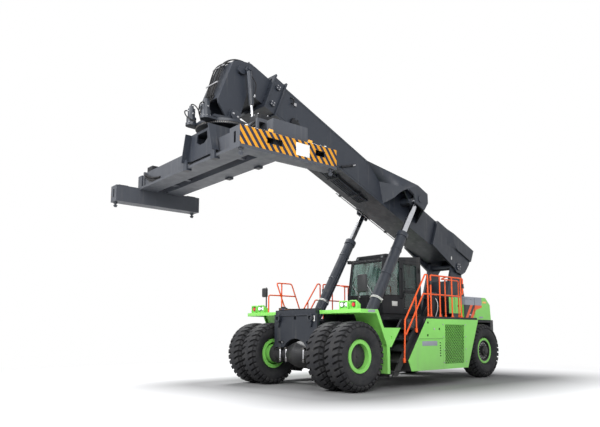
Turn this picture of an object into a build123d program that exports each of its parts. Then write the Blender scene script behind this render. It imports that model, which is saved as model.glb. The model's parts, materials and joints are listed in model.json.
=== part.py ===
"""Reach stacker: a container handler with a telescopic luffing boom and a 20 to 40 foot spreader.

Millimetres. +X points forward, +Y to the machine's left, +Z up. The origin is on the ground, midway
between the drive wheels.
"""
from build123d import *
import os
from math import atan2, cos, degrees, hypot, radians, sin

os.makedirs("parts", exist_ok=True)

SIDES = (("left", 1), ("right", -1))

# ---- overall layout
wheelbase = 6200
machine_width = 4160
side_y = machine_width / 2
steer_x = -wheelbase

# ---- tyres and wheels, size 18.00-25
tyre_radius = 800
tyre_width = 500
bead_radius = 317.5
rim_width = 330
flange_radius = 381
rim_wall = 26
drive_outer_y = 1805
dual_spacing = 600
steer_y = 1305
axle_z = tyre_radius
running_gap = 0.3

# ---- drive axle
axle_ball_radius = 330
axle_tube_radius = 190
drive_spindle_radius = 150
brake_radius = 240
brake_y = 815
drive_hub_radius = 245
hub_inner_y = 960
hub_face_y = 1875

# ---- steer axle
kingpin_y = 1060
kingpin_radius = 60
steer_plate = 45
steer_plate_gap = 310
steer_end_radius = 130
steer_mid_half = 210
knuckle_radius = 105
knuckle_play = 5
steer_spindle_radius = 75
steer_hub_radius = 190
trunnion_radius = 90
trunnion_reach = 330

# ---- frame
rail_outer_y = 640
rail_width = 130
rail_top = 1620
rail_bottom = 560
rear_rail_outer_y = 420
rear_rail_width = 120
rear_rail_bottom = 1060
axle_seat_z = 1060
frame_front_x = 110
frame_jog_x = steer_x + 1300
frame_jog_depth = 300
rear_deck_z = 1740
rear_deck_thickness = 80
rear_deck_half_width = 1150
plate = 25
cross_members = ((-760, 900, 1500), (-2300, 700, 1500), (-3400, 600, 900))
engine_low = (-4800, -450, 900)
engine_high = (-3500, 450, 1600)

# ---- front bulkhead
bulkhead_thickness = 90
bulkhead_half = 785
bulkhead_bottom = 970
bulkhead_top = 1800
bulkhead_eye_y = 600
bulkhead_eye_z = 1695
bulkhead_eye_radius = 95
bulkhead_slot_y = 520
bulkhead_slot_z = 1095
arch_half = 420
arch_top = 1190

# ---- bodywork along the sides
deck_z = 1750
deck_thickness = 60
fender_top = 1870
fender_front_x = 84
fender_inner_y = 750
fender_band = 90
fender_drop_x = -930
fender_foot_z = 380
box_top_z = 1690
box_bottom_z = 400
box_inner_y = 1230
box_recess = 30
box_hole_radius = 34
box_holes = ((-2480, 1590), (-2970, 1430), (-2460, 1270))
box_grille = ((-3240, 1550), (-3200, 530), (-4100, 530), (-4150, 1550))
box_bracket_x = (-2600, -4300)
seam = 8
stair_width = 560
stair_pitch = 268
stair_first_z = 380
stringer_width = 200
stair_steps = 5
tread_depth = 240
tread_thickness = 40
stringer = 40
rail_tube_radius = 21
post_radius = 19
rail_bend = 45
rail_y = side_y - 95
stair_outer_y = rail_y - rail_tube_radius
rail_top_z = 2830
rail_mid_z = 2330

# ---- rear body
hood_half_width = 1200
hood_top_z = 2430
hood_front_x = steer_x + 600
hood_back_x = steer_x - 910
weight_bottom_z = 700
weight_back_x = steer_x - 1420
weight_bevel_x = steer_x - 1250
weight_half_width = 1150
weight_back_half = 750
steer_sweep_back_x = steer_x - 1000
hood_slope_x = steer_x - 650
hood_slope_z = 2210
hood_room_half = 620
tower_front_x = steer_x + 650
tower_back_x = steer_x - 780
filter_front_x = steer_x + 1400
filter_back_x = steer_x + 770

# ---- cab
cab_half_width = 620
cab_floor_z = 1870
cab_wall = 60
windscreen_half = cab_half_width - 80
cab_rear_x = -4250
cab_roof_front_z = 3420
cab_roof_rear_z = 3560
roof_thickness = 70
glass_thickness = 12
door_front_x = -3330
door_rear_x = -4150
door_gap = 6
hinge_pin_radius = 9

# ---- boom
boom_angle = 21.9
boom_pivot_x = steer_x - 200
boom_pivot_z = 3450
boom_pin_radius = 90
tower_inner_y = 390
tower_plate = 80
boss_radius = 240
cheek_gap = 8
cheek_plate = 70
boom_half_width = 460
boom_bottom = 30
boom_top = 870
boom_wall = 25
boom_front = 8680
boom_box_back = 420
collar_length = 400
collar_proud = 30
collar_flange = 45
collar_flange_proud = 75
collar_boss_radius = 70
inner_half_width = 380
inner_height = 710
inner_wall = 22
inner_back = 1050
pad_length = 260
foot_back = -589
foot_half_width = 600

# ---- saddle where the lift cylinders take hold: distances along the boom and square to it
lift_eye_s = 3182
lift_eye_n = 551
saddle_root = ((2250, boom_top), (5000, boom_top), (4330, 590), (3950, 70), (2350, 300))
saddle_edge = ((2930, boom_top), (3420, boom_top), (3750, 580), (3720, 550), (2880, 450))
pocket_top = boom_top - 25
pocket_root = ((2330, pocket_top), (4860, pocket_top), (4280, 585), (3895, 20), (2420, -60))
pocket_edge = ((2975, pocket_top), (3505, pocket_top), (3767, 565), (3655, 380), (2945, 200))
outer_lug = ((2930, boom_top), (3420, boom_top), (3620, 690), (3590, 620), (3400, 440), (3365, 330),
             (2910, 320), (2820, 620))
inner_lug = ((2960, boom_top - 10), (3640, boom_top - 10), (3650, 600), (3400, 450), (3365, 360), (2960, 360))

# ---- boom head and yoke
head_plate = 50
head_start = 8900
head_front = 9757
head_side = ((head_start, 95), (9130, 60), (9105, -350), (9080, -640), (9400, -860), (9700, -660), (head_front, -580),
             (head_front, 520), (9640, 640), (9320, 800), (head_start, boom_top - 65))
head_skin = 40
head_boss_radius = 150
head_studs = ((9508, 435, 105), (9329, 604, 88))
head_stud_y = 455
yoke_pin_s = 9252
yoke_pin_n = -712
yoke_pin_radius = 80
yoke_cover_radius = 95
yoke_lug = 60
yoke_drop = 160
damper_top_s = 9386
damper_top_n = 505
damper_eye_back = 450
damper_eye_drop = 40
damper_y = 520
damper_radius = 62
damper_rod_radius = 32
motor_reach = 680
motor_y = 300

# ---- lift cylinders
lift_y = 976
lift_foot_x = -1070
lift_foot_z = 1100
lift_barrel_radius = 145
lift_gland_proud = 18
lift_bore_start = 220
lift_rod_length = 3520
lift_rod_radius = 85
lift_eye_radius = 150
lift_eye_width = 190
lift_pin_radius = 60
lift_barrel_length = 3530
lug_play = 5
lug_plate = 40

# ---- spreader, with the corner spacing of a 20 foot container
spreader_yaw = -2.75
spreader_length = 6058
spreader_width = 2438
lock_spacing_y = 5853
lock_spacing_x = 2259
side_shift = -500
lock_plane_z = 4700
end_beam_height = 425
end_beam_width = 350
end_beam_wall = 15
end_windows = ((230, 600), (-880, -630))
window_sill = 190
window_head = 310
lock_radius = 52
lock_head_depth = 55
arm_overlap = 2300
arm_width = 140
arm_height = 340
arm_far_x = 402
arm_near_x = 226
tube_wall = 20
tube_play = 8
main_beam_length = 5200
main_beam_top = 5550
main_beam_height = 450
beam_rail_out = 610
beam_rail_height = 60
ring_radius = 630
ring_thickness = 60
slew_gap = 5
slew_plate = 50
slew_drum_radius = 320
carriage_top = 5880
carriage_plate = 60
web_inner_x = 526
web_plate = 30
flange_outer_x = 706
web_foot_z = 5250
carriage_head_half = 510
carriage_foot_half = 690

boom_pivot = (boom_pivot_x, 0, boom_pivot_z)
boom_cos = cos(radians(boom_angle))
boom_sin = sin(radians(boom_angle))
boom_plane = Plane(origin=boom_pivot, x_dir=(boom_cos, 0, boom_sin), z_dir=(0, -1, 0))


def profile(plane, points, y_low, y_high, mode=Mode.ADD):
    """Extrude an outline drawn in a side view between two distances to the left."""
    with BuildSketch(plane.offset(-y_high)) as outline:
        with BuildLine():
            Polyline(*points, close=True)
        make_face()
    extrude(outline.sketch, amount=y_high - y_low, mode=mode)


def mirrored(y_low, y_high):
    """The same span on the left and on the right."""
    return ((y_low, y_high), (-y_high, -y_low))


def cross_bar(plane, centre, radius, y_low, y_high, mode=Mode.ADD):
    """A round bar or hole across the machine."""
    with BuildSketch(plane.offset(-y_high)) as disc:
        with Locations(centre):
            Circle(radius)
    extrude(disc.sketch, amount=y_high - y_low, mode=mode)


def block(low, high, mode=Mode.ADD):
    """A block between its lowest and its highest corner."""
    middle = tuple((a + b) / 2 for a, b in zip(low, high))
    size = [b - a for a, b in zip(low, high)]
    with Locations(middle):
        Box(*size, mode=mode)


def tube_run(points, y):
    """A bent hand rail of one tube, in the side view at a distance to the left."""
    with BuildLine(Plane.XZ.offset(-y)) as path:
        FilletPolyline(*points, radius=rail_bend)
    with BuildSketch(Plane(origin=path.line @ 0, z_dir=path.line % 0)) as ring:
        Circle(rail_tube_radius)
    sweep(ring.sketch, path=path.line)


def save(builder, name):
    """Label a finished piece and write it."""
    builder.part.label = name
    export_step(builder.part, f"parts/{name}.step")


def off_boom(s, n):
    """The side-view point at a distance along the boom and a distance square to it."""
    return (boom_pivot_x + s * boom_cos - n * boom_sin, boom_pivot_z + s * boom_sin + n * boom_cos)


def front_view(points, x_low, x_high, mode=Mode.ADD):
    """Extrude an outline drawn in a front view between two distances forward."""
    with BuildSketch(Plane.YZ.offset(x_low)) as outline:
        with BuildLine():
            Polyline(*points, close=True)
        make_face()
    extrude(outline.sketch, amount=x_high - x_low, mode=mode)


def fairing(root_y, root, edge_y, edge, mode=Mode.ADD):
    """A flat-sided block from one outline in the boom's side view to another further out."""
    faces = []
    for y, points in ((root_y, root), (edge_y, edge)):
        with BuildSketch(boom_plane.offset(-y)) as outline:
            with BuildLine():
                Polyline(*points, close=True)
            make_face()
        faces.append(outline.sketch.face())
    loft(faces, ruled=True, mode=mode)


yoke_pin_x, yoke_pin_z = off_boom(yoke_pin_s, yoke_pin_n)
damper_top_x, damper_top_z = off_boom(damper_top_s, damper_top_n)
lift_eye_x, lift_eye_z = off_boom(lift_eye_s, lift_eye_n)
ring_top = yoke_pin_z - yoke_drop
damper_eye_x = yoke_pin_x - damper_eye_back
damper_eye_z = yoke_pin_z - damper_eye_drop


def save_spreader(builder, name):
    """Turn a finished spreader piece about the slewing axis to where it hangs, and write it."""
    slewed = builder.part.rotate(Axis((yoke_pin_x, 0, 0), (0, 0, 1)), spreader_yaw)
    slewed.label = name
    export_step(slewed, f"parts/{name}.step")


# ======================================================================== wheels
def tyre(x, y):
    """One tyre: beads, bulged side walls and a rounded crown, turned about its axle."""
    half = tyre_width / 2
    bead_half = rim_width / 2 - rim_wall
    shoulder = tyre_radius - 60
    widest = (tyre_radius + flange_radius) / 2
    with BuildSketch(Plane(origin=(x, y, axle_z), x_dir=(0, 1, 0), z_dir=(1, 0, 0))) as section:
        with BuildLine():
            Polyline((half - 30, shoulder), (half - 60, tyre_radius - 12))
            ThreePointArc((half - 60, tyre_radius - 12), (0, tyre_radius), (60 - half, tyre_radius - 12))
            Polyline((60 - half, tyre_radius - 12), (30 - half, shoulder))
            ThreePointArc((30 - half, shoulder), (-half, widest), (-bead_half, flange_radius + 2))
            Polyline((-bead_half, flange_radius + 2), (-bead_half, bead_radius), (bead_half, bead_radius),
                     (bead_half, flange_radius + 2))
            ThreePointArc((bead_half, flange_radius + 2), (half, widest), (half - 30, shoulder))
        make_face()
    revolve(section.sketch, axis=Axis((x, y, axle_z), (0, 1, 0)))


def turned(x, y, points):
    """Turn an outline of (distance out, radius) pairs about the axle line."""
    with BuildSketch(Plane(origin=(x, y, axle_z), x_dir=(0, 1, 0), z_dir=(1, 0, 0))) as section:
        with BuildLine():
            Polyline(*points, close=True)
        make_face()
    revolve(section.sketch, axis=Axis((x, y, axle_z), (0, 1, 0)))


def rim(x, y, out, disc_in, disc_out, hub_radius):
    """A rim barrel with two flanges, and the disc that joins it to the hub."""
    half = rim_width / 2
    bead_half = half - rim_wall
    barrel_inside = bead_radius - rim_wall
    turned(x, y, ((-half, barrel_inside), (half, barrel_inside), (half, flange_radius),
                  (bead_half, flange_radius), (bead_half, bead_radius), (-bead_half, bead_radius),
                  (-bead_half, flange_radius), (-half, flange_radius)))
    low, high = sorted((out * disc_in, out * disc_out))
    turned(x, y, ((low, hub_radius - 20), (high, hub_radius - 20),
                  (high, barrel_inside + 5), (low, barrel_inside + 5)))


for side, out in SIDES:
    for place, y in (("outer", drive_outer_y), ("inner", drive_outer_y - dual_spacing)):
        with BuildPart() as drive_tyre:
            tyre(0, out * y)
        save(drive_tyre, f"{side}_{place}_drive_tyre")

    with BuildPart() as drive_wheel:
        rim(0, out * drive_outer_y, out, -40, -10, drive_hub_radius)
        rim(0, out * (drive_outer_y - dual_spacing), out, 10, 40, drive_hub_radius)
        bore = drive_spindle_radius + running_gap
        hub = ((hub_inner_y, bore), (hub_face_y - 140, bore), (hub_face_y - 140, 0), (hub_face_y, 0),
               (hub_face_y, drive_hub_radius - 70), (hub_face_y - 45, drive_hub_radius - 15),
               (hub_face_y - 90, drive_hub_radius), (hub_inner_y, drive_hub_radius))
        turned(0, 0, [(out * y, r) for y, r in hub])
    save(drive_wheel, f"{side}_drive_wheel")

    with BuildPart() as steer_tyre:
        tyre(steer_x, out * steer_y)
    save(steer_tyre, f"{side}_steer_tyre")

    with BuildPart() as steer_wheel:
        rim(steer_x, out * steer_y, out, 85, 115, steer_hub_radius)
        bore = steer_spindle_radius + running_gap
        hub = ((1205, bore), (1460, bore), (1460, 0), (1530, 0), (1530, 95), (1500, 120), (1440, 130),
               (1430, steer_hub_radius), (1205, steer_hub_radius))
        turned(steer_x, 0, [(out * y, r) for y, r in hub])
    save(steer_wheel, f"{side}_steer_wheel")

# ======================================================================== axles
with BuildPart() as drive_axle:
    with BuildSketch(Plane(origin=(0, 0, axle_z), x_dir=(0, 1, 0), z_dir=(1, 0, 0))):
        with BuildLine():
            Polyline((0, 0), (hub_face_y - 150, 0), (hub_face_y - 150, drive_spindle_radius),
                     (hub_inner_y - 15, drive_spindle_radius), (hub_inner_y - 15, brake_radius),
                     (brake_y, brake_radius), (brake_y - 20, axle_tube_radius), (420, axle_tube_radius))
            ThreePointArc((420, axle_tube_radius), (230, 265), (0, axle_ball_radius))
            Line((0, axle_ball_radius), (0, 0))
        make_face()
    revolve(axis=Axis((0, 0, axle_z), (0, 1, 0)))
    mirror(about=Plane.XZ)
    for y_low, y_high in mirrored(rail_outer_y - rail_width, rail_outer_y):
        block((-150, y_low, axle_z), (frame_front_x - 10, y_high, axle_seat_z))
    with BuildSketch(Plane.YZ.offset(-520)):
        with Locations((0, axle_z)):
            Circle(120)
    extrude(amount=400)
save(drive_axle, "drive_axle")

with BuildPart() as steer_axle:
    for z in (axle_z - steer_plate_gap / 2 - steer_plate, axle_z + steer_plate_gap / 2):
        with BuildSketch(Plane.XY.offset(z)):
            with BuildLine():
                Polyline((steer_x - steer_mid_half, -300), (steer_x - steer_mid_half, 300),
                         (steer_x - steer_end_radius, kingpin_y), (steer_x + steer_end_radius, kingpin_y),
                         (steer_x + steer_mid_half, 300), (steer_x + steer_mid_half, -300),
                         (steer_x + steer_end_radius, -kingpin_y), (steer_x - steer_end_radius, -kingpin_y),
                         close=True)
            make_face()
            with Locations((steer_x, kingpin_y), (steer_x, -kingpin_y)):
                Circle(steer_end_radius)
                Circle(kingpin_radius + running_gap, mode=Mode.SUBTRACT)
        extrude(amount=steer_plate)
    for x in (steer_x - 165, steer_x + 140):
        block((x, -640, axle_z - steer_plate_gap / 2), (x + plate, 640, axle_z + steer_plate_gap / 2))
    block((steer_x - 165, -300, axle_z - 120), (steer_x + 165, 300, axle_z + 120))
    with BuildSketch(Plane.YZ.offset(steer_x - trunnion_reach)):
        with Locations((0, axle_z)):
            Circle(trunnion_radius)
    extrude(amount=2 * trunnion_reach)
save(steer_axle, "steer_axle")

for side, out in SIDES:
    with BuildPart() as knuckle:
        height = steer_plate_gap - 2 * knuckle_play
        with Locations((steer_x, out * kingpin_y, axle_z)):
            Cylinder(knuckle_radius, height)
            Cylinder(kingpin_radius, steer_plate_gap + 2 * steer_plate)
        with BuildSketch(Plane.XZ.offset(-out * kingpin_y)):
            with Locations((steer_x, axle_z)):
                Circle(steer_spindle_radius)
        extrude(amount=-out * 395)
        with BuildSketch(Plane.XY.offset(axle_z - 40)):
            with BuildLine():
                Polyline((steer_x - 60, out * (kingpin_y - 40)), (steer_x + 60, out * (kingpin_y - 40)),
                         (steer_x + 40, out * (kingpin_y - 250)), (steer_x - 40, out * (kingpin_y - 250)),
                         close=True)
            make_face()
        extrude(amount=80)
    save(knuckle, f"{side}_steer_knuckle")

# ======================================================================== frame
with BuildPart() as main_frame:
    rail_side = ((frame_front_x, axle_seat_z), (frame_front_x, rail_top), (frame_jog_x - frame_jog_depth, rail_top),
                 (frame_jog_x - frame_jog_depth, rear_rail_bottom), (frame_jog_x, rail_bottom),
                 (-1450, rail_bottom), (-620, 760), (-480, axle_seat_z))
    for y_low, y_high in mirrored(rail_outer_y - rail_width, rail_outer_y):
        profile(Plane.XZ, rail_side, y_low, y_high)
    for y_low, y_high in mirrored(rear_rail_outer_y - rear_rail_width, rear_rail_outer_y):
        block((steer_sweep_back_x, y_low, rear_rail_bottom), (frame_jog_x, y_high, rear_deck_z - rear_deck_thickness))
    block((frame_jog_x - frame_jog_depth, -rail_outer_y, rear_rail_bottom), (frame_jog_x, rail_outer_y, rail_top))
    for x, z_low, z_high in cross_members:
        block((x - 120, -rail_outer_y + 20, z_low), (x + 120, rail_outer_y - 20, z_high))
    block((steer_sweep_back_x, -rear_deck_half_width, rear_deck_z - rear_deck_thickness),
          (frame_jog_x - frame_jog_depth + 50, rear_deck_half_width, rear_deck_z))
    for x in (steer_x - trunnion_reach, steer_x + steer_mid_half + 20):
        width = trunnion_reach - steer_mid_half - 20
        with BuildSketch(Plane.YZ.offset(x)):
            with BuildLine():
                Polyline((-180, axle_z), (-rear_rail_outer_y, rear_rail_bottom + 40),
                         (rear_rail_outer_y, rear_rail_bottom + 40), (180, axle_z), close=True)
            make_face()
            with Locations((0, axle_z)):
                Circle(180)
                Circle(trunnion_radius + running_gap, mode=Mode.SUBTRACT)
        extrude(amount=width)
    lug_low = lift_y - lift_eye_width / 2 - lug_play - lug_plate
    lug_high = lift_y + lift_eye_width / 2 + lug_play
    for out in (1, -1):
        for y in (lug_low, lug_high):
            low, high = sorted((out * y, out * (y + lug_plate)))
            profile(Plane.XZ, ((lift_foot_x - 130, lift_foot_z), (lift_foot_x - 300, 700), (lift_foot_x, 700),
                               (lift_foot_x + 130, lift_foot_z)), low, high)
            cross_bar(Plane.XZ, (lift_foot_x, lift_foot_z), 130, low, high)
        low, high = sorted((out * (rail_outer_y - 30), out * (lug_high + lug_plate)))
        block((lift_foot_x - 300, low, 640), (lift_foot_x, high, 900))
        low, high = sorted((out * (lug_low - 10), out * (lug_high + lug_plate + 10)))
        cross_bar(Plane.XZ, (lift_foot_x, lift_foot_z), lift_pin_radius, low, high)
save(main_frame, "main_frame")

with BuildPart() as front_bulkhead:
    bulkhead_front_x = frame_front_x + bulkhead_thickness
    with BuildSketch(Plane.YZ.offset(frame_front_x)):
        with BuildLine():
            Polyline((-bulkhead_half, bulkhead_bottom), (-bulkhead_half, bulkhead_top), (bulkhead_half, bulkhead_top),
                     (bulkhead_half, bulkhead_bottom), (arch_half, bulkhead_bottom))
            ThreePointArc((arch_half, bulkhead_bottom), (0, arch_top), (-arch_half, bulkhead_bottom))
            Line((-arch_half, bulkhead_bottom), (-bulkhead_half, bulkhead_bottom))
        make_face()
        with Locations((-bulkhead_slot_y, bulkhead_slot_z), (bulkhead_slot_y, bulkhead_slot_z)):
            SlotOverall(240, 70, mode=Mode.SUBTRACT)
        with Locations((0, bulkhead_eye_z)):
            Circle(45, mode=Mode.SUBTRACT)
    extrude(amount=bulkhead_thickness)
    # closing plate behind the holes
    front_view(((-bulkhead_half, bulkhead_bottom + 60), (-bulkhead_half, bulkhead_top), (bulkhead_half, bulkhead_top),
                (bulkhead_half, bulkhead_bottom + 60), (arch_half, bulkhead_bottom + 60), (300, arch_top),
                (-300, arch_top), (-arch_half, bulkhead_bottom + 60)), frame_front_x, frame_front_x + 20)
    # towing eyes, each on a tapered rib, and the sloping lip between them
    for y in (-bulkhead_eye_y, bulkhead_eye_y):
        front_view(((y - 75, bulkhead_eye_z), (y + 75, bulkhead_eye_z), (y + 6, bulkhead_eye_z - 230),
                    (y - 6, bulkhead_eye_z - 230)), bulkhead_front_x, bulkhead_front_x + 45)
        with BuildSketch(Plane.YZ.offset(bulkhead_front_x)) as eye:
            with Locations((y, bulkhead_eye_z)):
                Circle(bulkhead_eye_radius)
                Circle(bulkhead_eye_radius / 2, mode=Mode.SUBTRACT)
        extrude(eye.sketch, amount=75)
        with BuildSketch(Plane.YZ.offset(bulkhead_front_x)) as eye_hole:
            with Locations((y, bulkhead_eye_z)):
                Circle(bulkhead_eye_radius / 2)
        extrude(eye_hole.sketch, amount=76, mode=Mode.SUBTRACT)
    profile(Plane.XZ, ((bulkhead_front_x, bulkhead_top), (bulkhead_front_x, bulkhead_top - 55),
                       (bulkhead_front_x + 35, bulkhead_top - 45), (bulkhead_front_x + 35, bulkhead_top - 35)),
            -bulkhead_eye_y + bulkhead_eye_radius, bulkhead_eye_y - bulkhead_eye_radius)
    block((frame_front_x - 60, 10 - fender_inner_y, bulkhead_top - 10),
          (bulkhead_front_x, fender_inner_y - 10, bulkhead_top + 100))
save(front_bulkhead, "front_bulkhead")

# ======================================================================== side bodywork
box_side = ((-2440, box_top_z), (-4880, box_top_z), (-4290, box_bottom_z), (-1760, box_bottom_z), (-1640, 660))
box_front_top = box_side[0]
box_front_low = box_side[4]


def stair_line(z):
    """The side box's sloping front edge at a height: the stairs lie against it."""
    share = (z - box_front_low[1]) / (box_front_top[1] - box_front_low[1])
    return box_front_low[0] + share * (box_front_top[0] - box_front_low[0])


for side, out in SIDES:
    with BuildPart() as fender:
        outline = ((fender_front_x, fender_top), (-520, fender_top), (fender_drop_x, 1040),
                   (fender_drop_x, fender_foot_z))
        for thick, y_low, y_high in ((plate, fender_inner_y, side_y), (fender_band, side_y - 30, side_y)):
            inside = ((fender_drop_x + thick, fender_foot_z), (fender_drop_x + thick, 1040 - thick / 4),
                      (-520 + thick / 2, fender_top - thick), (fender_front_x, fender_top - thick))
            low, high = sorted((out * y_low, out * y_high))
            profile(Plane.XZ, outline + inside, low, high)
        low, high = sorted((out * fender_inner_y, out * rail_outer_y))
        block((-560, low, 1560), (-60, high, 1600))
        low, high = sorted((out * fender_inner_y, out * (fender_inner_y + 30)))
        block((-560, low, 1560), (-60, high, fender_top - 10))
        low, high = sorted((out * 1700, out * side_y))
        slope_x = -520 + (fender_drop_x + 520) * (fender_top - 1450) / (fender_top - 1040)
        profile(Plane.XZ, ((slope_x, 1450), (-1350, 1450), (-990, 1000), (fender_drop_x, 1000), (fender_drop_x, 1040)),
                low, high)
        skin_low, skin_high = sorted((out * (side_y - box_recess), out * (side_y + 1)))
        cross_bar(Plane.XZ, (-1000, 1230), box_hole_radius, skin_low, skin_high, mode=Mode.SUBTRACT)
    save(fender, f"{side}_fender")

    with BuildPart() as side_box:
        low, high = sorted((out * box_inner_y, out * side_y))
        profile(Plane.XZ, box_side, low, high)
        # air opening, hatch seam, louvre slots and round holes in the outer face
        skin_low, skin_high = sorted((out * (side_y - box_recess), out * (side_y + 1)))
        profile(Plane.XZ, box_grille, skin_low, skin_high, mode=Mode.SUBTRACT)
        seam_low, seam_high = sorted((out * (side_y - seam), out * (side_y + 1)))
        for seam_from, seam_to in (((-2055, 1160), (-3120, 1160)), ((-3120, 1160), (-3120, box_bottom_z - 1))):
            block((seam_to[0] - seam, seam_low, seam_to[1]), (seam_from[0], seam_high, seam_from[1] + seam),
                  mode=Mode.SUBTRACT)
        for slot in range(6):
            z = 730 + slot * 66
            block((-3030, skin_low, z), (-2965, skin_high, z + 30), mode=Mode.SUBTRACT)
        for hole in box_holes:
            cross_bar(Plane.XZ, hole, box_hole_radius, skin_low, skin_high, mode=Mode.SUBTRACT)
        low, high = sorted((out * (rail_outer_y), out * box_inner_y))
        for x in box_bracket_x:
            block((x - 100, low, 900), (x + 100, high, 1100))
    save(side_box, f"{side}_side_box")

    with BuildPart() as stairs:
        low, high = sorted((out * (stair_outer_y - stair_width), out * stair_outer_y))
        for step in range(stair_steps):
            z = stair_first_z + step * stair_pitch
            x = stair_line(z - tread_thickness)
            block((x, low + stringer / 2, z - tread_thickness), (x + tread_depth, high - stringer / 2, z))
        foot_z = stair_first_z - 80
        head_z = deck_z - deck_thickness
        for y_low, y_high in ((stair_outer_y - stair_width, stair_outer_y - stair_width + stringer),
                              (stair_outer_y - stringer, stair_outer_y)):
            y_low, y_high = sorted((out * y_low, out * y_high))
            profile(Plane.XZ, ((stair_line(foot_z), foot_z), (stair_line(head_z), head_z),
                               (stair_line(head_z) + stringer_width, head_z),
                               (stair_line(foot_z) + stringer_width, foot_z)), y_low, y_high)
    save(stairs, f"{side}_stairs")

    with BuildPart() as rails:
        y = out * rail_y
        tube_run(((-2770, deck_z), (-2770, rail_top_z), (-4290, rail_top_z), (-4290, 2395), (-4190, 2395)), y)
        tube_run(((-2640, deck_z), (-2640, rail_top_z), (-2530, rail_top_z), (-1660, 1650), (-1600, 640)), y)
        tube_run(((-2640, rail_mid_z), (-2440, rail_mid_z), (-1680, 1280)), y)
        posts = ((-3180, deck_z, rail_top_z), (-3750, deck_z, rail_top_z), (-4190, deck_z, rail_top_z),
                 (-2120, 1370, 2250))
        for x, z_low, z_high in posts:
            with Locations((x, y, (z_low + z_high) / 2)):
                Cylinder(post_radius, z_high - z_low)
        with BuildSketch(Plane.YZ.offset(-4190)):
            with Locations((y, rail_mid_z)):
                Circle(post_radius)
        extrude(amount=4190 - 2640)
        low, high = sorted((y, out * stair_outer_y))
        for x, z in ((-1602, 680), (-2120, 1410)):
            block((x - 30, low, z - 40), (x + 30, high, z + 40))
    save(rails, f"{side}_deck_rails")

with BuildPart() as deck:
    for y_low, y_high in mirrored(cab_half_width + 20, side_y - 20):
        block((-4860, y_low, deck_z - deck_thickness), (-2450, y_high, deck_z))
save(deck, "deck")

# ======================================================================== rear body
with BuildPart() as engine:
    block(engine_low, engine_high)
save(engine, "engine")

with BuildPart() as counterweight:
    with BuildSketch(Plane.XY.offset(weight_bottom_z)):
        with BuildLine():
            Polyline((steer_sweep_back_x, -weight_half_width), (steer_sweep_back_x, weight_half_width),
                     (weight_bevel_x, weight_half_width - 50), (weight_back_x, weight_back_half),
                     (weight_back_x, -weight_back_half), (weight_bevel_x, 50 - weight_half_width), close=True)
        make_face()
    extrude(amount=rear_deck_z - weight_bottom_z)
save(counterweight, "counterweight")

with BuildPart() as rear_hood:
    hood_side = ((hood_front_x, rear_deck_z), (hood_front_x, hood_top_z), (hood_slope_x, hood_top_z),
                 (hood_back_x, hood_slope_z), (hood_back_x - 40, rear_deck_z))
    profile(Plane.XZ, hood_side, -hood_half_width, hood_half_width)
    block((hood_slope_x - 150, -hood_room_half, rear_deck_z - 10),
          (hood_front_x + 10, hood_room_half, hood_top_z + 10), mode=Mode.SUBTRACT)
save(rear_hood, "rear_hood")

with BuildPart() as filter_boxes:
    for y_low, y_high in mirrored(820, 1200):
        block((filter_back_x, y_low, rear_deck_z + 150), (filter_front_x, y_high, hood_top_z - 50))
        block((filter_back_x + 30, y_low + 30, rear_deck_z),
              (filter_front_x - 200, y_high - 30, rear_deck_z + 150))
save(filter_boxes, "filter_boxes")

with BuildPart() as boom_tower:
    tower_side = ((tower_front_x, rear_deck_z), (tower_back_x, rear_deck_z), (boom_pivot_x - boss_radius, boom_pivot_z),
                  (boom_pivot_x + boss_radius, boom_pivot_z))
    for y_low, y_high in mirrored(tower_inner_y, tower_inner_y + tower_plate):
        profile(Plane.XZ, tower_side, y_low, y_high)
        cross_bar(Plane.XZ, (boom_pivot_x, boom_pivot_z), boss_radius, y_low, y_high)
    block((steer_x - 100, -tower_inner_y, rear_deck_z), (steer_x - 40, tower_inner_y, boom_pivot_z - 450))
    cheek_out = tower_inner_y + tower_plate + cheek_gap + cheek_plate
    cross_bar(Plane.XZ, (boom_pivot_x, boom_pivot_z), boom_pin_radius, -cheek_out - 20, cheek_out + 20)
save(boom_tower, "boom_tower")

# ======================================================================== cab
cab_side = ((-2500, cab_floor_z), (-2410, 2330), (-2600, cab_roof_front_z), (cab_rear_x, cab_roof_rear_z),
            (cab_rear_x, cab_floor_z))
cab_room = ((-2560, cab_floor_z + 60), (-2475, 2330), (-2660, cab_roof_front_z - roof_thickness),
            (cab_rear_x + cab_wall, cab_roof_rear_z - roof_thickness), (cab_rear_x + cab_wall, cab_floor_z + 60))
side_window = ((-2560, 2380), (-2720, 3330), (-3240, 3370), (-3240, 2380))
hinge_x = door_rear_x - 12
hinge_y = cab_half_width + 24
hinge_heights = (2150, 3150)
with BuildPart() as cab_shell:
    profile(Plane.XZ, cab_side, -cab_half_width, cab_half_width)
    profile(Plane.XZ, cab_room, -cab_half_width + cab_wall, cab_half_width - cab_wall, mode=Mode.SUBTRACT)
    # windscreen, rear window, side windows and door openings
    block((-2700, -windscreen_half, 2360), (-2350, windscreen_half, 3310), mode=Mode.SUBTRACT)
    block((cab_rear_x - 10, -480, 2500), (cab_rear_x + cab_wall + 10, 480, 3380), mode=Mode.SUBTRACT)
    profile(Plane.XZ, side_window, -700, 700, mode=Mode.SUBTRACT)
    for y_low, y_high in mirrored(cab_half_width - cab_wall - 1, cab_half_width + 1):
        block((door_rear_x, y_low, cab_floor_z + 40), (door_front_x, y_high, 3400), mode=Mode.SUBTRACT)
    block((-4150, -560, rail_top), (-2560, 560, cab_floor_z))
    for side, out in SIDES:
        for z in hinge_heights:
            with Locations((hinge_x, out * hinge_y, z)):
                Cylinder(hinge_pin_radius, 160)
            low, high = sorted((out * (cab_half_width - 10), out * (hinge_y + 4)))
            for z_low in (z - 75, z + 45):
                block((hinge_x - 22, low, z_low), (hinge_x + 4, high, z_low + 30))
save(cab_shell, "cab_shell")

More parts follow.
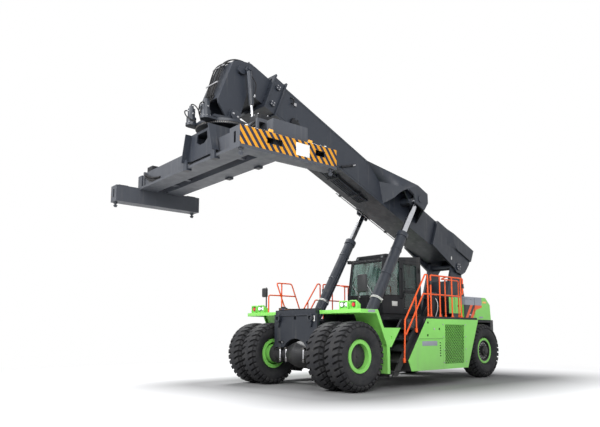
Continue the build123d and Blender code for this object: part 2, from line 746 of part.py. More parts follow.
with BuildPart() as cab_glass:
    profile(Plane.XZ, ((-2440, 2360), (-2440 - glass_thickness, 2360), (-2606 - glass_thickness, 3310), (-2606, 3310)),
            -windscreen_half, windscreen_half)
    block((cab_rear_x + 20, -480, 2500), (cab_rear_x + 20 + glass_thickness, 480, 3380))
    for y_low, y_high in mirrored(cab_half_width - 35, cab_half_width - 35 + glass_thickness):
        profile(Plane.XZ, side_window, y_low, y_high)
save(cab_glass, "cab_glass")

for side, out in SIDES:
    with BuildPart() as door:
        low, high = sorted((out * (cab_half_width - cab_wall), out * cab_half_width))
        block((door_rear_x + door_gap, low, cab_floor_z + 46), (door_front_x - door_gap, high, 3394))
        block((door_rear_x + 90, low - 5, 2560), (door_front_x - 90, high + 5, 3310), mode=Mode.SUBTRACT)
        block((door_rear_x + 90, low - 5, 2010), (door_front_x - 90, high + 5, 2460), mode=Mode.SUBTRACT)
        low, high = sorted((out * cab_half_width, out * (cab_half_width + 8)))
        for z in hinge_heights:
            block((hinge_x, low, z - 35), (door_rear_x + 80, high, z + 35))
            with Locations((hinge_x, out * hinge_y, z)):
                Cylinder(22, 70)
                Cylinder(hinge_pin_radius + running_gap, 70, mode=Mode.SUBTRACT)
    save(door, f"{side}_cab_door")
    with BuildPart() as door_glass:
        low, high = sorted((out * (cab_half_width - 36), out * (cab_half_width - 36 + glass_thickness)))
        block((door_rear_x + 90, low, 2560), (door_front_x - 90, high, 3310))
        block((door_rear_x + 90, low, 2010), (door_front_x - 90, high, 2460))
    save(door_glass, f"{side}_cab_door_glass")

with BuildPart() as driver_seat:
    block((-3800, -240, 2330), (-3300, 240, 2450))
    profile(Plane.XZ, ((-3690, 2450), (-3800, 2450), (-3930, 3080), (-3830, 3080)), -230, 230)
save(driver_seat, "driver_seat")

with BuildPart() as cab_controls:
    block((-3700, -180, cab_floor_z + 60), (-3380, 180, 2330))
    profile(Plane.XZ, ((-2700, cab_floor_z + 60), (-2850, cab_floor_z + 60), (-3010, 2520), (-2930, 2560)), -60, 60)
    with Locations(Plane(origin=(-2970, 0, 2545), z_dir=(-0.5, 0, 1))):
        Torus(180, 16)
        Box(350, 30, 20)
save(cab_controls, "cab_controls")

# ======================================================================== boom
with BuildPart() as outer_boom:
    # foot: two cheeks, the top plate between them and the closing plate behind
    cheek_low = tower_inner_y + tower_plate + cheek_gap
    cheek_high = cheek_low + cheek_plate
    cheek = ((-250, -180), (-430, 0), (-560, 344), (foot_back, boom_top), (1500, boom_top), (1500, boom_bottom),
             (300, -120))
    for y_low, y_high in mirrored(cheek_low, cheek_high):
        profile(boom_plane, cheek, y_low, y_high)
        cross_bar(boom_plane, (0, 0), 200, y_low, y_high)
        cross_bar(boom_plane, (0, 0), boom_pin_radius + running_gap, y_low, y_high, mode=Mode.SUBTRACT)
    profile(boom_plane, ((foot_back, boom_top), (1500, boom_top), (1500, boom_top - 30), (-560, boom_top - 30)),
            -cheek_low, cheek_low)
    profile(boom_plane, ((foot_back, boom_top), (-560, 344), (-530, 344), (-555, boom_top)), -cheek_low, cheek_low)
    foot_root = ((foot_back, boom_top), (1420, boom_top), (1100, 70), (300, 440), (-570, 440))
    foot_edge = ((foot_back, boom_top), (640, boom_top), (580, 620), (280, 460), (-570, 460))
    for side, out in SIDES:
        fairing(out * (cheek_low + 2), foot_root, out * foot_half_width, foot_edge)
    # main box and the collar at its front
    box = ((boom_box_back, boom_bottom), (boom_box_back, boom_top), (boom_front, boom_top), (boom_front, boom_bottom))
    profile(boom_plane, box, -boom_half_width, boom_half_width)
    collar_back = boom_front - collar_length
    for s_low, s_high, proud in ((collar_back, boom_front, collar_proud),
                                 (collar_back, collar_back + collar_flange, collar_flange_proud),
                                 (boom_front - collar_flange, boom_front, collar_flange_proud)):
        low, high = boom_bottom - proud, boom_top + proud
        profile(boom_plane, ((s_low, low), (s_low, high), (s_high, high), (s_high, low)),
                -boom_half_width - proud, boom_half_width + proud)
    for n in (200, 680):
        for y_low, y_high in mirrored(boom_half_width, boom_half_width + collar_flange_proud):
            cross_bar(boom_plane, (boom_front - collar_length / 2, n), collar_boss_radius, y_low, y_high)
    # saddle over the lift cylinder eyes
    wing_in = lift_y - lift_eye_width / 2 - lug_play - lug_plate
    wing_out = lift_y + lift_eye_width / 2 + lug_play
    lift_eye = (lift_eye_s, lift_eye_n)
    for side, out in SIDES:
        fairing(out * (boom_half_width - 10), saddle_root, out * (wing_out + lug_plate), saddle_edge)
        fairing(out * boom_half_width, pocket_root, out * wing_out, pocket_edge, mode=Mode.SUBTRACT)
        for y, outline in ((wing_in, inner_lug), (wing_out, outer_lug)):
            low, high = sorted((out * y, out * (y + lug_plate)))
            profile(boom_plane, outline, low, high)
        low, high = sorted((out * (boom_half_width - 10), out * (wing_in + 10)))
        cross_bar(boom_plane, lift_eye, 130, low, high)
        for y_low, y_high in ((wing_in - 10, wing_in + lug_plate + 1), (wing_out - 1, wing_out + lug_plate + 20)):
            low, high = sorted((out * y_low, out * y_high))
            cross_bar(boom_plane, lift_eye, 110, low, high)
    bore = ((boom_box_back - 10, boom_bottom + boom_wall), (boom_box_back - 10, boom_top - boom_wall),
            (boom_front + 10, boom_top - boom_wall), (boom_front + 10, boom_bottom + boom_wall))
    profile(boom_plane, bore, -boom_half_width + boom_wall, boom_half_width - boom_wall, mode=Mode.SUBTRACT)
    # wear pads between collar and inner boom
    inner_low = (boom_bottom + boom_top - inner_height) / 2
    inner_high = inner_low + inner_height
    pad_back = boom_front - pad_length
    for n_low, n_high in ((boom_bottom + boom_wall, inner_low - running_gap),
                          (inner_high + running_gap, boom_top - boom_wall)):
        for y_low, y_high in mirrored(180, 360):
            profile(boom_plane, ((pad_back, n_low), (pad_back, n_high), (boom_front, n_high), (boom_front, n_low)),
                    y_low, y_high)
    for y_low, y_high in mirrored(inner_half_width + running_gap, boom_half_width - boom_wall):
        for n in (200, 560):
            profile(boom_plane, ((pad_back, n), (pad_back, n + 140), (boom_front, n + 140), (boom_front, n)),
                    y_low, y_high)
save(outer_boom, "outer_boom")

with BuildPart() as inner_boom:
    tube_end = head_start + 300
    tube = ((inner_back, inner_low), (inner_back, inner_high), (tube_end, inner_high), (tube_end, inner_low))
    profile(boom_plane, tube, -inner_half_width, inner_half_width)
    hollow = ((inner_back - 10, inner_low + inner_wall), (inner_back - 10, inner_high - inner_wall),
              (tube_end - 50, inner_high - inner_wall), (tube_end - 50, inner_low + inner_wall))
    profile(boom_plane, hollow, -inner_half_width + inner_wall, inner_half_width - inner_wall, mode=Mode.SUBTRACT)
    for y_low, y_high in mirrored(inner_half_width - head_plate, inner_half_width):
        profile(boom_plane, head_side, y_low, y_high)
        cross_bar(boom_plane, (yoke_pin_s, yoke_pin_n), head_boss_radius, y_low, y_high)
    inside = inner_half_width - 5
    profile(boom_plane, ((head_front, -540), (head_front, 520), (9640, 640), (9320, 800), (9320, 800 - head_skin),
                         (9620, 640 - head_skin), (head_front - head_skin, 505), (head_front - head_skin, -540)),
            -inside, inside)
    profile(boom_plane, ((9130, 60), (9105, -350), (9105 + head_skin, -350), (9130 + head_skin, 60)), -inside, inside)
    for y_low, y_high in mirrored(inside, head_stud_y):
        for stud_s, stud_n, radius in head_studs:
            cross_bar(boom_plane, (stud_s, stud_n), radius, y_low, y_high)
    pin_end = inner_half_width + slew_gap + yoke_lug + 25
    cross_bar(boom_plane, (yoke_pin_s, yoke_pin_n), yoke_pin_radius, -pin_end, pin_end)
    for y_low, y_high in mirrored(pin_end - 15, pin_end):
        cross_bar(boom_plane, (yoke_pin_s, yoke_pin_n), yoke_cover_radius, y_low, y_high)
    cross_bar(boom_plane, (damper_top_s, damper_top_n), 40, -damper_y - 60, damper_y + 60)
save(inner_boom, "inner_boom")

# ======================================================================== lift cylinders
lift_angle = degrees(atan2(lift_eye_z - lift_foot_z, lift_eye_x - lift_foot_x))
lift_length = hypot(lift_eye_z - lift_foot_z, lift_eye_x - lift_foot_x)
lift_dir = (cos(radians(lift_angle)), 0, sin(radians(lift_angle)))
for side, out in SIDES:
    foot = (lift_foot_x, out * lift_y, lift_foot_z)
    lift_plane = Plane(origin=foot, x_dir=(0, 1, 0), z_dir=lift_dir)
    half_eye = lift_eye_width / 2
    with BuildPart() as lift_barrel:
        with BuildSketch(lift_plane.offset(60)):
            Circle(90)
        extrude(amount=120)
        with BuildSketch(lift_plane.offset(160)):
            Circle(lift_barrel_radius)
        extrude(amount=lift_barrel_length - 160)
        with BuildSketch(lift_plane.offset(lift_barrel_length - 140)):
            Circle(lift_barrel_radius + lift_gland_proud)
        extrude(amount=140)
        cross_bar(Plane.XZ, (lift_foot_x, lift_foot_z), 125, out * lift_y - half_eye, out * lift_y + half_eye)
        cross_bar(Plane.XZ, (lift_foot_x, lift_foot_z), lift_pin_radius + running_gap, out * lift_y - half_eye,
                  out * lift_y + half_eye, mode=Mode.SUBTRACT)
        with BuildSketch(lift_plane.offset(lift_bore_start)):
            Circle(lift_rod_radius + running_gap)
        extrude(amount=lift_barrel_length, mode=Mode.SUBTRACT)
    save(lift_barrel, f"{side}_lift_barrel")
    with BuildPart() as lift_rod:
        with BuildSketch(lift_plane.offset(lift_length - lift_rod_length)):
            Circle(lift_rod_radius)
        extrude(amount=lift_rod_length - 100)
        cross_bar(Plane.XZ, (lift_eye_x, lift_eye_z), lift_eye_radius, out * lift_y - half_eye, out * lift_y + half_eye)
        cross_bar(Plane.XZ, (lift_eye_x, lift_eye_z), 100, out * lift_y - half_eye, out * lift_y + half_eye,
                  mode=Mode.SUBTRACT)
    save(lift_rod, f"{side}_lift_rod")

# ======================================================================== yoke and dampers
with BuildPart() as yoke:
    lug_in = inner_half_width + slew_gap
    lug = ((-430, ring_top), (-150, yoke_pin_z - 60), (-120, yoke_pin_z), (120, yoke_pin_z), (190, ring_top + 90),
           (560, ring_top + 55), (600, ring_top))
    for y_low, y_high in mirrored(lug_in, lug_in + yoke_lug):
        profile(Plane.XZ, [(yoke_pin_x + x, z) for x, z in lug], y_low, y_high)
        cross_bar(Plane.XZ, (yoke_pin_x, yoke_pin_z), head_boss_radius, y_low, y_high)
        cross_bar(Plane.XZ, (yoke_pin_x, yoke_pin_z), yoke_pin_radius + running_gap, y_low, y_high, mode=Mode.SUBTRACT)
    with Locations((yoke_pin_x, 0, ring_top - ring_thickness / 2)):
        Cylinder(ring_radius, ring_thickness)
    for y_low, y_high in mirrored(damper_y - 30, damper_y + 30):
        profile(Plane.XZ, ((yoke_pin_x - 120, ring_top), (yoke_pin_x - 120, ring_top - 40),
                           (damper_eye_x - 70, ring_top - 40), (damper_eye_x - 60, ring_top + 15),
                           (damper_eye_x + 60, ring_top + 15)), y_low, y_high)
    # two slewing motors on their gearboxes
    for y in (-motor_y, motor_y):
        block((yoke_pin_x + ring_radius - 250, y - 130, ring_top - ring_thickness),
              (yoke_pin_x + motor_reach, y + 130, ring_top))
        with Locations((yoke_pin_x + motor_reach, y, ring_top - ring_thickness)):
            Cylinder(130, ring_thickness, align=(Align.CENTER, Align.CENTER, Align.MIN))
            Cylinder(100, 150, align=(Align.CENTER, Align.CENTER, Align.MIN))
            Cylinder(112, 190, align=(Align.CENTER, Align.CENTER, Align.MIN))
            Cylinder(84, 400, align=(Align.CENTER, Align.CENTER, Align.MIN))
            Cylinder(52, 470, align=(Align.CENTER, Align.CENTER, Align.MIN))
save(yoke, "yoke")

damper_dir_x = damper_eye_x - damper_top_x
damper_dir_z = damper_eye_z - damper_top_z
damper_length = hypot(damper_dir_x, damper_dir_z)
damper_dir = (damper_dir_x / damper_length, 0, damper_dir_z / damper_length)
with BuildPart() as damper_barrels:
    for y in (-damper_y, damper_y):
        damper_plane = Plane(origin=(damper_top_x, y, damper_top_z), x_dir=(0, 1, 0), z_dir=damper_dir)
        with BuildSketch(damper_plane.offset(50)):
            Circle(damper_radius)
        extrude(amount=800)
        cross_bar(Plane.XZ, (damper_top_x, damper_top_z), 75, y - 35, y + 35)
        cross_bar(Plane.XZ, (damper_top_x, damper_top_z), 40 + running_gap, y - 35, y + 35, mode=Mode.SUBTRACT)
        with BuildSketch(damper_plane.offset(150)):
            Circle(damper_rod_radius + running_gap)
        extrude(amount=800, mode=Mode.SUBTRACT)
save(damper_barrels, "damper_barrels")
with BuildPart() as damper_rods:
    for y in (-damper_y, damper_y):
        damper_plane = Plane(origin=(damper_top_x, y, damper_top_z), x_dir=(0, 1, 0), z_dir=damper_dir)
        with BuildSketch(damper_plane.offset(700)):
            Circle(damper_rod_radius)
        extrude(amount=damper_length - 700 - 40)
        cross_bar(Plane.XZ, (damper_eye_x, damper_eye_z), 55, y - 30, y + 30)
save(damper_rods, "damper_rods")

# ======================================================================== spreader
main_beam_bottom = main_beam_top - main_beam_height
arm_bottom = (main_beam_top + main_beam_bottom - arm_height) / 2
beam_y_low = side_shift - main_beam_length / 2
beam_y_high = side_shift + main_beam_length / 2
beam_inner_x = arm_near_x - arm_width / 2 - tube_play - tube_wall
beam_outer_x = arm_far_x + arm_width / 2 + tube_play + tube_wall
bearing_z = ring_top - ring_thickness - slew_gap

with BuildPart() as carriage:
    with Locations((yoke_pin_x, 0, bearing_z)):
        Cylinder(ring_radius - 10, slew_plate, align=(Align.CENTER, Align.CENTER, Align.MAX))
    with Locations((yoke_pin_x, 0, carriage_top - 1)):
        Cylinder(slew_drum_radius, bearing_z - carriage_top, align=(Align.CENTER, Align.CENTER, Align.MIN))
    with Locations((yoke_pin_x, 0, bearing_z - 1)):
        Cylinder(200, slew_gap + 1, align=(Align.CENTER, Align.CENTER, Align.MIN))
    block((yoke_pin_x - web_inner_x - web_plate, -carriage_head_half, carriage_top - carriage_plate),
          (yoke_pin_x + web_inner_x + web_plate, carriage_head_half, carriage_top))
    web = ((carriage_foot_half, web_foot_z), (carriage_head_half, carriage_top), (200, carriage_top), (240, 5640),
           (90, 5560), (-90, 5560), (-240, 5640), (-200, carriage_top), (-carriage_head_half, carriage_top),
           (-carriage_foot_half, web_foot_z))
    for sign in (1, -1):
        low, high = sorted((yoke_pin_x + sign * web_inner_x, yoke_pin_x + sign * (web_inner_x + web_plate)))
        front_view(web, low, high)
        low, high = sorted((yoke_pin_x + sign * web_inner_x, yoke_pin_x + sign * flange_outer_x))
        for turn in (1, -1):
            flange = [(turn * y, z) for y, z in ((carriage_foot_half, web_foot_z), (carriage_head_half, carriage_top),
                                                 (carriage_head_half - web_plate, carriage_top),
                                                 (carriage_foot_half - web_plate, web_foot_z))]
            front_view(flange, low, high)
        # feet that hook under the beam's rail
        claw_in = yoke_pin_x + sign * (beam_rail_out + 5)
        claw_out = yoke_pin_x + sign * (beam_rail_out + 5 + web_plate)
        rail_bottom_z = main_beam_bottom - running_gap
        for y_low, y_high in mirrored(carriage_foot_half - 160, carriage_foot_half):
            low, high = sorted((claw_in, claw_out))
            block((low, y_low, rail_bottom_z - 40), (high, y_high, web_foot_z + 60))
            low, high = sorted((yoke_pin_x + sign * (beam_outer_x + 10), claw_out))
            block((low, y_low, rail_bottom_z - 40), (high, y_high, rail_bottom_z))
            low, high = sorted((yoke_pin_x + sign * web_inner_x, claw_out))
            block((low, y_low, web_foot_z), (high, y_high, web_foot_z + 25))
    for turn in (1, -1):
        side_plate = [(turn * y, z) for y, z in ((545, main_beam_top + 10), (carriage_head_half, carriage_top),
                                                 (carriage_head_half - web_plate, carriage_top),
                                                 (545 - web_plate, main_beam_top + 10))]
        front_view(side_plate, yoke_pin_x - web_inner_x - 1, yoke_pin_x + web_inner_x + 1)
    # shoes that stand on the main beams
    for x_low, x_high in mirrored(beam_inner_x + 20, beam_outer_x - 20):
        for y_low, y_high in mirrored(360, carriage_head_half - 10):
            block((yoke_pin_x + x_low, y_low, main_beam_top + running_gap),
                  (yoke_pin_x + x_high, y_high, carriage_top - carriage_plate))
save_spreader(carriage, "rotator_carriage")

with BuildPart() as spreader_frame:
    for x_low, x_high in mirrored(beam_inner_x, beam_outer_x):
        block((yoke_pin_x + x_low, beam_y_low, main_beam_bottom), (yoke_pin_x + x_high, beam_y_high, main_beam_top))
    for x_low, x_high in mirrored(beam_outer_x - 5, beam_rail_out):
        block((yoke_pin_x + x_low, beam_y_low, main_beam_bottom),
              (yoke_pin_x + x_high, beam_y_high, main_beam_bottom + beam_rail_height))
    for y in (-1900, -1200, 1200, 1900):
        block((yoke_pin_x - beam_inner_x - 5, side_shift + y - 60, main_beam_bottom + 60),
              (yoke_pin_x + beam_inner_x + 5, side_shift + y + 60, main_beam_top - 60))
    # stiffening collars at both ends of each beam
    for y in (beam_y_low, beam_y_high - 60):
        for x_low, x_high in mirrored(beam_inner_x - 25, beam_outer_x + 25):
            block((yoke_pin_x + x_low, y, main_beam_bottom), (yoke_pin_x + x_high, y + 60, main_beam_top + 25))
    for x in (-arm_far_x, -arm_near_x, arm_near_x, arm_far_x):
        block((yoke_pin_x + x - arm_width / 2 - tube_play, beam_y_low - 1, arm_bottom - tube_play),
              (yoke_pin_x + x + arm_width / 2 + tube_play, beam_y_high + 1, arm_bottom + arm_height + tube_play),
              mode=Mode.SUBTRACT)
save_spreader(spreader_frame, "spreader_frame")

for side, out in SIDES:
    with BuildPart() as end_beam:
        near = side_shift + out * (spreader_length / 2 - end_beam_width)
        far = side_shift + out * spreader_length / 2
        base_z = lock_plane_z + 30
        beam_low, beam_high = sorted((near, far))
        block((yoke_pin_x - spreader_width / 2, beam_low, base_z),
              (yoke_pin_x + spreader_width / 2, beam_high, base_z + end_beam_height))
        # hollow inside, with slots in its ends and two windows in its outer side
        block((yoke_pin_x - spreader_width / 2 + end_beam_wall, beam_low + end_beam_wall, base_z + end_beam_wall),
              (yoke_pin_x + spreader_width / 2 - end_beam_wall, beam_high - end_beam_wall,
               base_z + end_beam_height - end_beam_wall), mode=Mode.SUBTRACT)
        middle_y = (near + far) / 2
        block((yoke_pin_x - spreader_width / 2 - 1, middle_y - 35, base_z + 110),
              (yoke_pin_x + spreader_width / 2 + 1, middle_y + 35, base_z + 330), mode=Mode.SUBTRACT)
        window_low, window_high = sorted((far + out, far - out * (end_beam_wall + 1)))
        for x_low, x_high in end_windows:
            x_low, x_high = sorted((out * x_low, out * x_high))
            block((yoke_pin_x + x_low, window_low, base_z + window_sill),
                  (yoke_pin_x + x_high, window_high, base_z + window_head), mode=Mode.SUBTRACT)
        arms = (out * arm_near_x, -out * arm_far_x)
        for x in arms:
            low, high = sorted((side_shift - out * arm_overlap, near + out * 10))
            block((yoke_pin_x + x - arm_width / 2, low, arm_bottom),
                  (yoke_pin_x + x + arm_width / 2, high, arm_bottom + arm_height))
            # slide shoes carry the arm in its tube
            for y in (side_shift - out * (arm_overlap - 100), side_shift + out * (main_beam_length / 2 - 150)):
                low, high = sorted((y, y + out * 80))
                shoe = tube_play - running_gap
                block((yoke_pin_x + x - arm_width / 2 - shoe, low, arm_bottom - shoe),
                      (yoke_pin_x + x + arm_width / 2 + shoe, high, arm_bottom + arm_height + shoe))
        # head that joins the arms to the cross beam
        low, high = sorted((near, near + out * 220))
        reach_low = min(arms) - arm_width / 2 - 60
        reach_high = max(arms) + arm_width / 2 + 60
        block((yoke_pin_x + reach_low, low, base_z + end_beam_wall),
              (yoke_pin_x + reach_high, high, arm_bottom + arm_height + 20))
        for x in (-lock_spacing_x / 2, lock_spacing_x / 2):
            place = (yoke_pin_x + x, side_shift + out * lock_spacing_y / 2)
            with Locations((*place, lock_plane_z)):
                Cylinder(lock_radius, lock_radius, align=(Align.CENTER, Align.CENTER, Align.MIN))
                Cylinder(30, 45, align=(Align.CENTER, Align.CENTER, Align.MAX))
            with BuildSketch(Plane.XY.offset(lock_plane_z - 40)) as lock_head:
                with Locations(place):
                    Rectangle(100, 56)
            extrude(lock_head.sketch, amount=-lock_head_depth, taper=18)
    save_spreader(end_beam, f"{side}_end_beam")
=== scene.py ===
"""Looks of the reach stacker: paint, tyres, glass, fittings and the studio round it.

Metres. +X points forward, +Y to the machine's left, +Z up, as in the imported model.
"""
import json
from math import cos, pi, radians, sin

import bpy
from mathutils import Matrix, Vector


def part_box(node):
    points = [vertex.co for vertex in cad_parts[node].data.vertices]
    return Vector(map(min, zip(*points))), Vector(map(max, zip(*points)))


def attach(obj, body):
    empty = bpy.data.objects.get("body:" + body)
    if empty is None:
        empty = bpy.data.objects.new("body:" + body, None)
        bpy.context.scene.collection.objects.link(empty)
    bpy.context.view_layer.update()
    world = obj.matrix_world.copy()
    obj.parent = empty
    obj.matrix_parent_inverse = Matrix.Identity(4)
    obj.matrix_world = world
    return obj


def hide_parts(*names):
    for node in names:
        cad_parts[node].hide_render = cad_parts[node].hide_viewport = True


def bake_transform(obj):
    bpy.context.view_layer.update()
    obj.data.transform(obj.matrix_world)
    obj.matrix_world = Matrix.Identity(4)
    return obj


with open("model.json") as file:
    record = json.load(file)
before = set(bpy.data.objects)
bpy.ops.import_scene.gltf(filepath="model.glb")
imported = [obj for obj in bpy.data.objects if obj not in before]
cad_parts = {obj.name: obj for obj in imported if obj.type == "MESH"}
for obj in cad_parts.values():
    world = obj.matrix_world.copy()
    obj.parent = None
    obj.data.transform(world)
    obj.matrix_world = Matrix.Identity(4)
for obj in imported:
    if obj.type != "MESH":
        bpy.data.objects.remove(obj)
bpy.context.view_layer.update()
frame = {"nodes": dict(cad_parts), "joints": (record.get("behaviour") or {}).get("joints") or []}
SIDES = {"left": 1, "right": -1}

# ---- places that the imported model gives
steer_low, steer_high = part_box("left_steer_tyre")
drive_low, drive_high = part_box("left_outer_drive_tyre")
steer_x = (steer_low.x + steer_high.x) / 2
tyre_radius = (drive_high.z - drive_low.z) / 2
fender_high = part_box("left_fender")[1]
cab_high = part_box("cab_shell")[1]
hood_low, hood_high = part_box("rear_hood")
bulkhead_low, bulkhead_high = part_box("front_bulkhead")
filter_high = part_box("filter_boxes")[1]
weight_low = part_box("counterweight")[0]
joint_at = {joint["name"]: joint.get("pos_m") for joint in frame["joints"]}
boom_pivot = Vector(joint_at["boom_luff"])
yoke_pin = Vector(joint_at["spreader_swing"])
damper_top = Vector(joint_at["damper_barrel_tilt"])
side_y = fender_high.y
deck_z = 1.75
boom_angle = radians(21.9)
spreader_yaw = radians(-2.75)
side_shift = -0.5
boom_half_width = 0.46
collar_face_y = 0.535
COLLAR_BOSSES = ((8.48, 0.20), (8.48, 0.68))


def on_boom(s, n, y=0.0):
    """The point at a distance along the boom, square to it and to the left."""
    return boom_pivot + Vector((s * cos(boom_angle) - n * sin(boom_angle), y,
                                s * sin(boom_angle) + n * cos(boom_angle)))


def boom_place(s, n, y=0.0, turn=0.0):
    """The place of a piece modelled level at the origin and then laid on the boom."""
    return Matrix.Translation(on_boom(s, n, y)) @ Matrix.Rotation(turn - boom_angle, 4, "Y")


SPREADER_PLACE = (Matrix.Translation((yoke_pin.x, 0, 0)) @ Matrix.Rotation(spreader_yaw, 4, "Z")
                  @ Matrix.Translation((0, side_shift, 0)))


# ======================================================================== finishes
def feed(tree, socket, value):
    """Set a socket to a number or a colour, or join it to the output of another node."""
    if isinstance(value, (int, float)):
        socket.default_value = value
    elif isinstance(value, tuple):
        socket.default_value = (*value, 1)
    else:
        tree.links.new(value, socket)


def calc(tree, operation, first, second=0.0):
    """One Math node."""
    node = tree.nodes.new("ShaderNodeMath")
    node.operation = operation
    feed(tree, node.inputs[0], first)
    feed(tree, node.inputs[1], second)
    return node.outputs[0]


def plus(tree, first, second):
    """The sum of two values."""
    return calc(tree, "ADD", first, second)


def minus(tree, first, second):
    """The first value less the second."""
    return calc(tree, "SUBTRACT", first, second)


def times(tree, *values):
    """The product of values; of masks, one where each is one."""
    product = values[0]
    for value in values[1:]:
        product = calc(tree, "MULTIPLY", product, value)
    return product


def above(tree, value, limit):
    """One where a value is greater than a limit."""
    return calc(tree, "GREATER_THAN", value, limit)


def below(tree, value, limit):
    """One where a value is less than a limit."""
    return calc(tree, "LESS_THAN", value, limit)


def between(tree, value, low, high):
    """One where a value lies between two numbers."""
    return times(tree, above(tree, value, low), below(tree, value, high))


def size_of(tree, value):
    """A value without its sign."""
    return calc(tree, "ABSOLUTE", value)


def squares(tree, first, second):
    """The sum of the squares of two values."""
    return plus(tree, calc(tree, "POWER", first, 2.0), calc(tree, "POWER", second, 2.0))


def blended(tree, share, first, second):
    """A colour between two, each a colour or the output of another node."""
    node = tree.nodes.new("ShaderNodeMix")
    node.data_type = "RGBA"
    for socket, value in ((0, share), (6, first), (7, second)):
        feed(tree, node.inputs[socket], value)
    return node.outputs[2]


def noise(tree, place, scale, detail=4.0, stretch=(1, 1, 1)):
    """Cloudy noise on a place, from 0 to 1."""
    mapping = tree.nodes.new("ShaderNodeMapping")
    mapping.inputs["Scale"].default_value = stretch
    tree.links.new(place, mapping.inputs["Vector"])
    node = tree.nodes.new("ShaderNodeTexNoise")
    node.inputs["Scale"].default_value = scale
    node.inputs["Detail"].default_value = detail
    tree.links.new(mapping.outputs[0], node.inputs["Vector"])
    return node.outputs["Fac"]


def waves(tree, place, scale, direction="X"):
    """Even bands across one direction, from 0 to 1."""
    node = tree.nodes.new("ShaderNodeTexWave")
    node.bands_direction = direction
    node.inputs["Scale"].default_value = scale
    tree.links.new(place, node.inputs["Vector"])
    return node.outputs["Fac"]


def ramped(tree, value, low, high, out_low=0.0, out_high=1.0):
    """A value carried from one span to another and held at its ends."""
    node = tree.nodes.new("ShaderNodeMapRange")
    tree.links.new(value, node.inputs["Value"])
    for name, number in (("From Min", low), ("From Max", high), ("To Min", out_low), ("To Max", out_high)):
        node.inputs[name].default_value = number
    return node.outputs["Result"]


def new_finish(name, **settings):
    """A material with its node tree, its shader and the place on the piece in metres."""
    material = bpy.data.materials.new(name)
    material.use_nodes = True
    tree = material.node_tree
    shader = tree.nodes["Principled BSDF"]
    place = tree.nodes.new("ShaderNodeTexCoord").outputs["Object"]
    for setting, number in settings.items():
        shader.inputs[SHADER_SOCKET[setting]].default_value = number
    return material, tree, shader, place


def axes_of(tree, value):
    """The three numbers of a place or a direction."""
    split = tree.nodes.new("ShaderNodeSeparateXYZ")
    tree.links.new(value, split.inputs[0])
    return split.outputs


SHADER_SOCKET = {"coat": "Coat Weight", "coat_roughness": "Coat Roughness", "shine": "Specular IOR Level",
                 "metallic": "Metallic", "index": "IOR", "roughness": "Roughness", "glow": "Emission Strength",
                 "sheen": "Sheen Weight"}
DUST = (0.33, 0.31, 0.27)


def dressed(tree, shader, colour, roughness, height, strength, distance):
    """Give a shader its colour, its roughness and its relief from a height."""
    feed(tree, shader.inputs["Base Color"], colour)
    if roughness is not None:
        feed(tree, shader.inputs["Roughness"], roughness)
    node = tree.nodes.new("ShaderNodeBump")
    node.inputs["Strength"].default_value = strength
    node.inputs["Distance"].default_value = distance
    tree.links.new(height, node.inputs["Height"])
    tree.links.new(node.outputs[0], shader.inputs["Normal"])


def scaled(colour, factor):
    """A colour made darker or lighter."""
    return tuple(channel * factor for channel in colour)


def paint(name, colour, roughness=0.38, dust=0.35, coat=0.25, shine=0.5):
    """Machine paint, plain or patterned, that varies a little, with faint runs, road dust and orange peel."""
    material, tree, shader, place = new_finish(name, coat=coat, shine=shine, coat_roughness=0.18)
    axes = axes_of(tree, place)
    if not isinstance(colour, tuple):
        colour = colour(tree, axes)
    cloud = noise(tree, place, 1.7, 5)
    varied = blended(tree, ramped(tree, cloud, 0.35, 0.7, 0.0, 0.07), colour, (0, 0, 0))
    runs = noise(tree, place, 9, 3, (1, 1, 0.06))
    streaked = blended(tree, ramped(tree, runs, 0.58, 0.75, 0.0, 0.12), varied, scaled(DUST, 0.8))
    low_down = times(tree, ramped(tree, axes[2], 0.3, 1.3, 1.0, 0.0), ramped(tree, cloud, 0.35, 0.65, 0.3, 1.0))
    dusty = blended(tree, times(tree, low_down, dust), streaked, DUST)
    matt = ramped(tree, noise(tree, place, 5, 4), 0.3, 0.7, roughness - 0.06, roughness + 0.08)
    dressed(tree, shader, dusty, matt, noise(tree, place, 260, 2), 0.06, 0.002)
    return material


def metal(name, colour, roughness, grain=(1, 1, 1)):
    """Bare or plated metal with fine marks along its grain."""
    material, tree, shader, place = new_finish(name, metallic=1.0)
    marks = noise(tree, place, 60, 5, grain)
    dressed(tree, shader, blended(tree, ramped(tree, marks, 0.4, 0.65, 0.0, 0.35), colour, scaled(colour, 0.6)),
            ramped(tree, marks, 0.3, 0.7, roughness - 0.05, roughness + 0.12), marks, 0.05, 0.001)
    return material


def rubber(name, colour, dust):
    """Tyre and hose rubber: matt, greyed by dust in its cloud pattern, finely pitted."""
    material, tree, shader, place = new_finish(name, shine=0.3)
    fine = noise(tree, place, 90, 3)
    faded = blended(tree, ramped(tree, noise(tree, place, 6, 6), 0.38, 0.68, 0.0, dust), colour, DUST)
    dressed(tree, shader, blended(tree, ramped(tree, fine, 0.4, 0.7, 0.0, 0.3), faded, scaled(colour, 0.55)),
            ramped(tree, fine, 0.3, 0.7, 0.62, 0.85), fine, 0.25, 0.003)
    return material


def plastic(name, colour, roughness=0.5):
    """Moulded plastic with a fine grain."""
    material, tree, shader, place = new_finish(name)
    cloud = noise(tree, place, 12, 4)
    dressed(tree, shader, blended(tree, ramped(tree, cloud, 0.35, 0.7, 0.0, 0.25), colour, scaled(colour, 0.7)),
            ramped(tree, cloud, 0.3, 0.7, roughness - 0.08, roughness + 0.08),
            noise(tree, place, 400, 2), 0.12, 0.001)
    return material


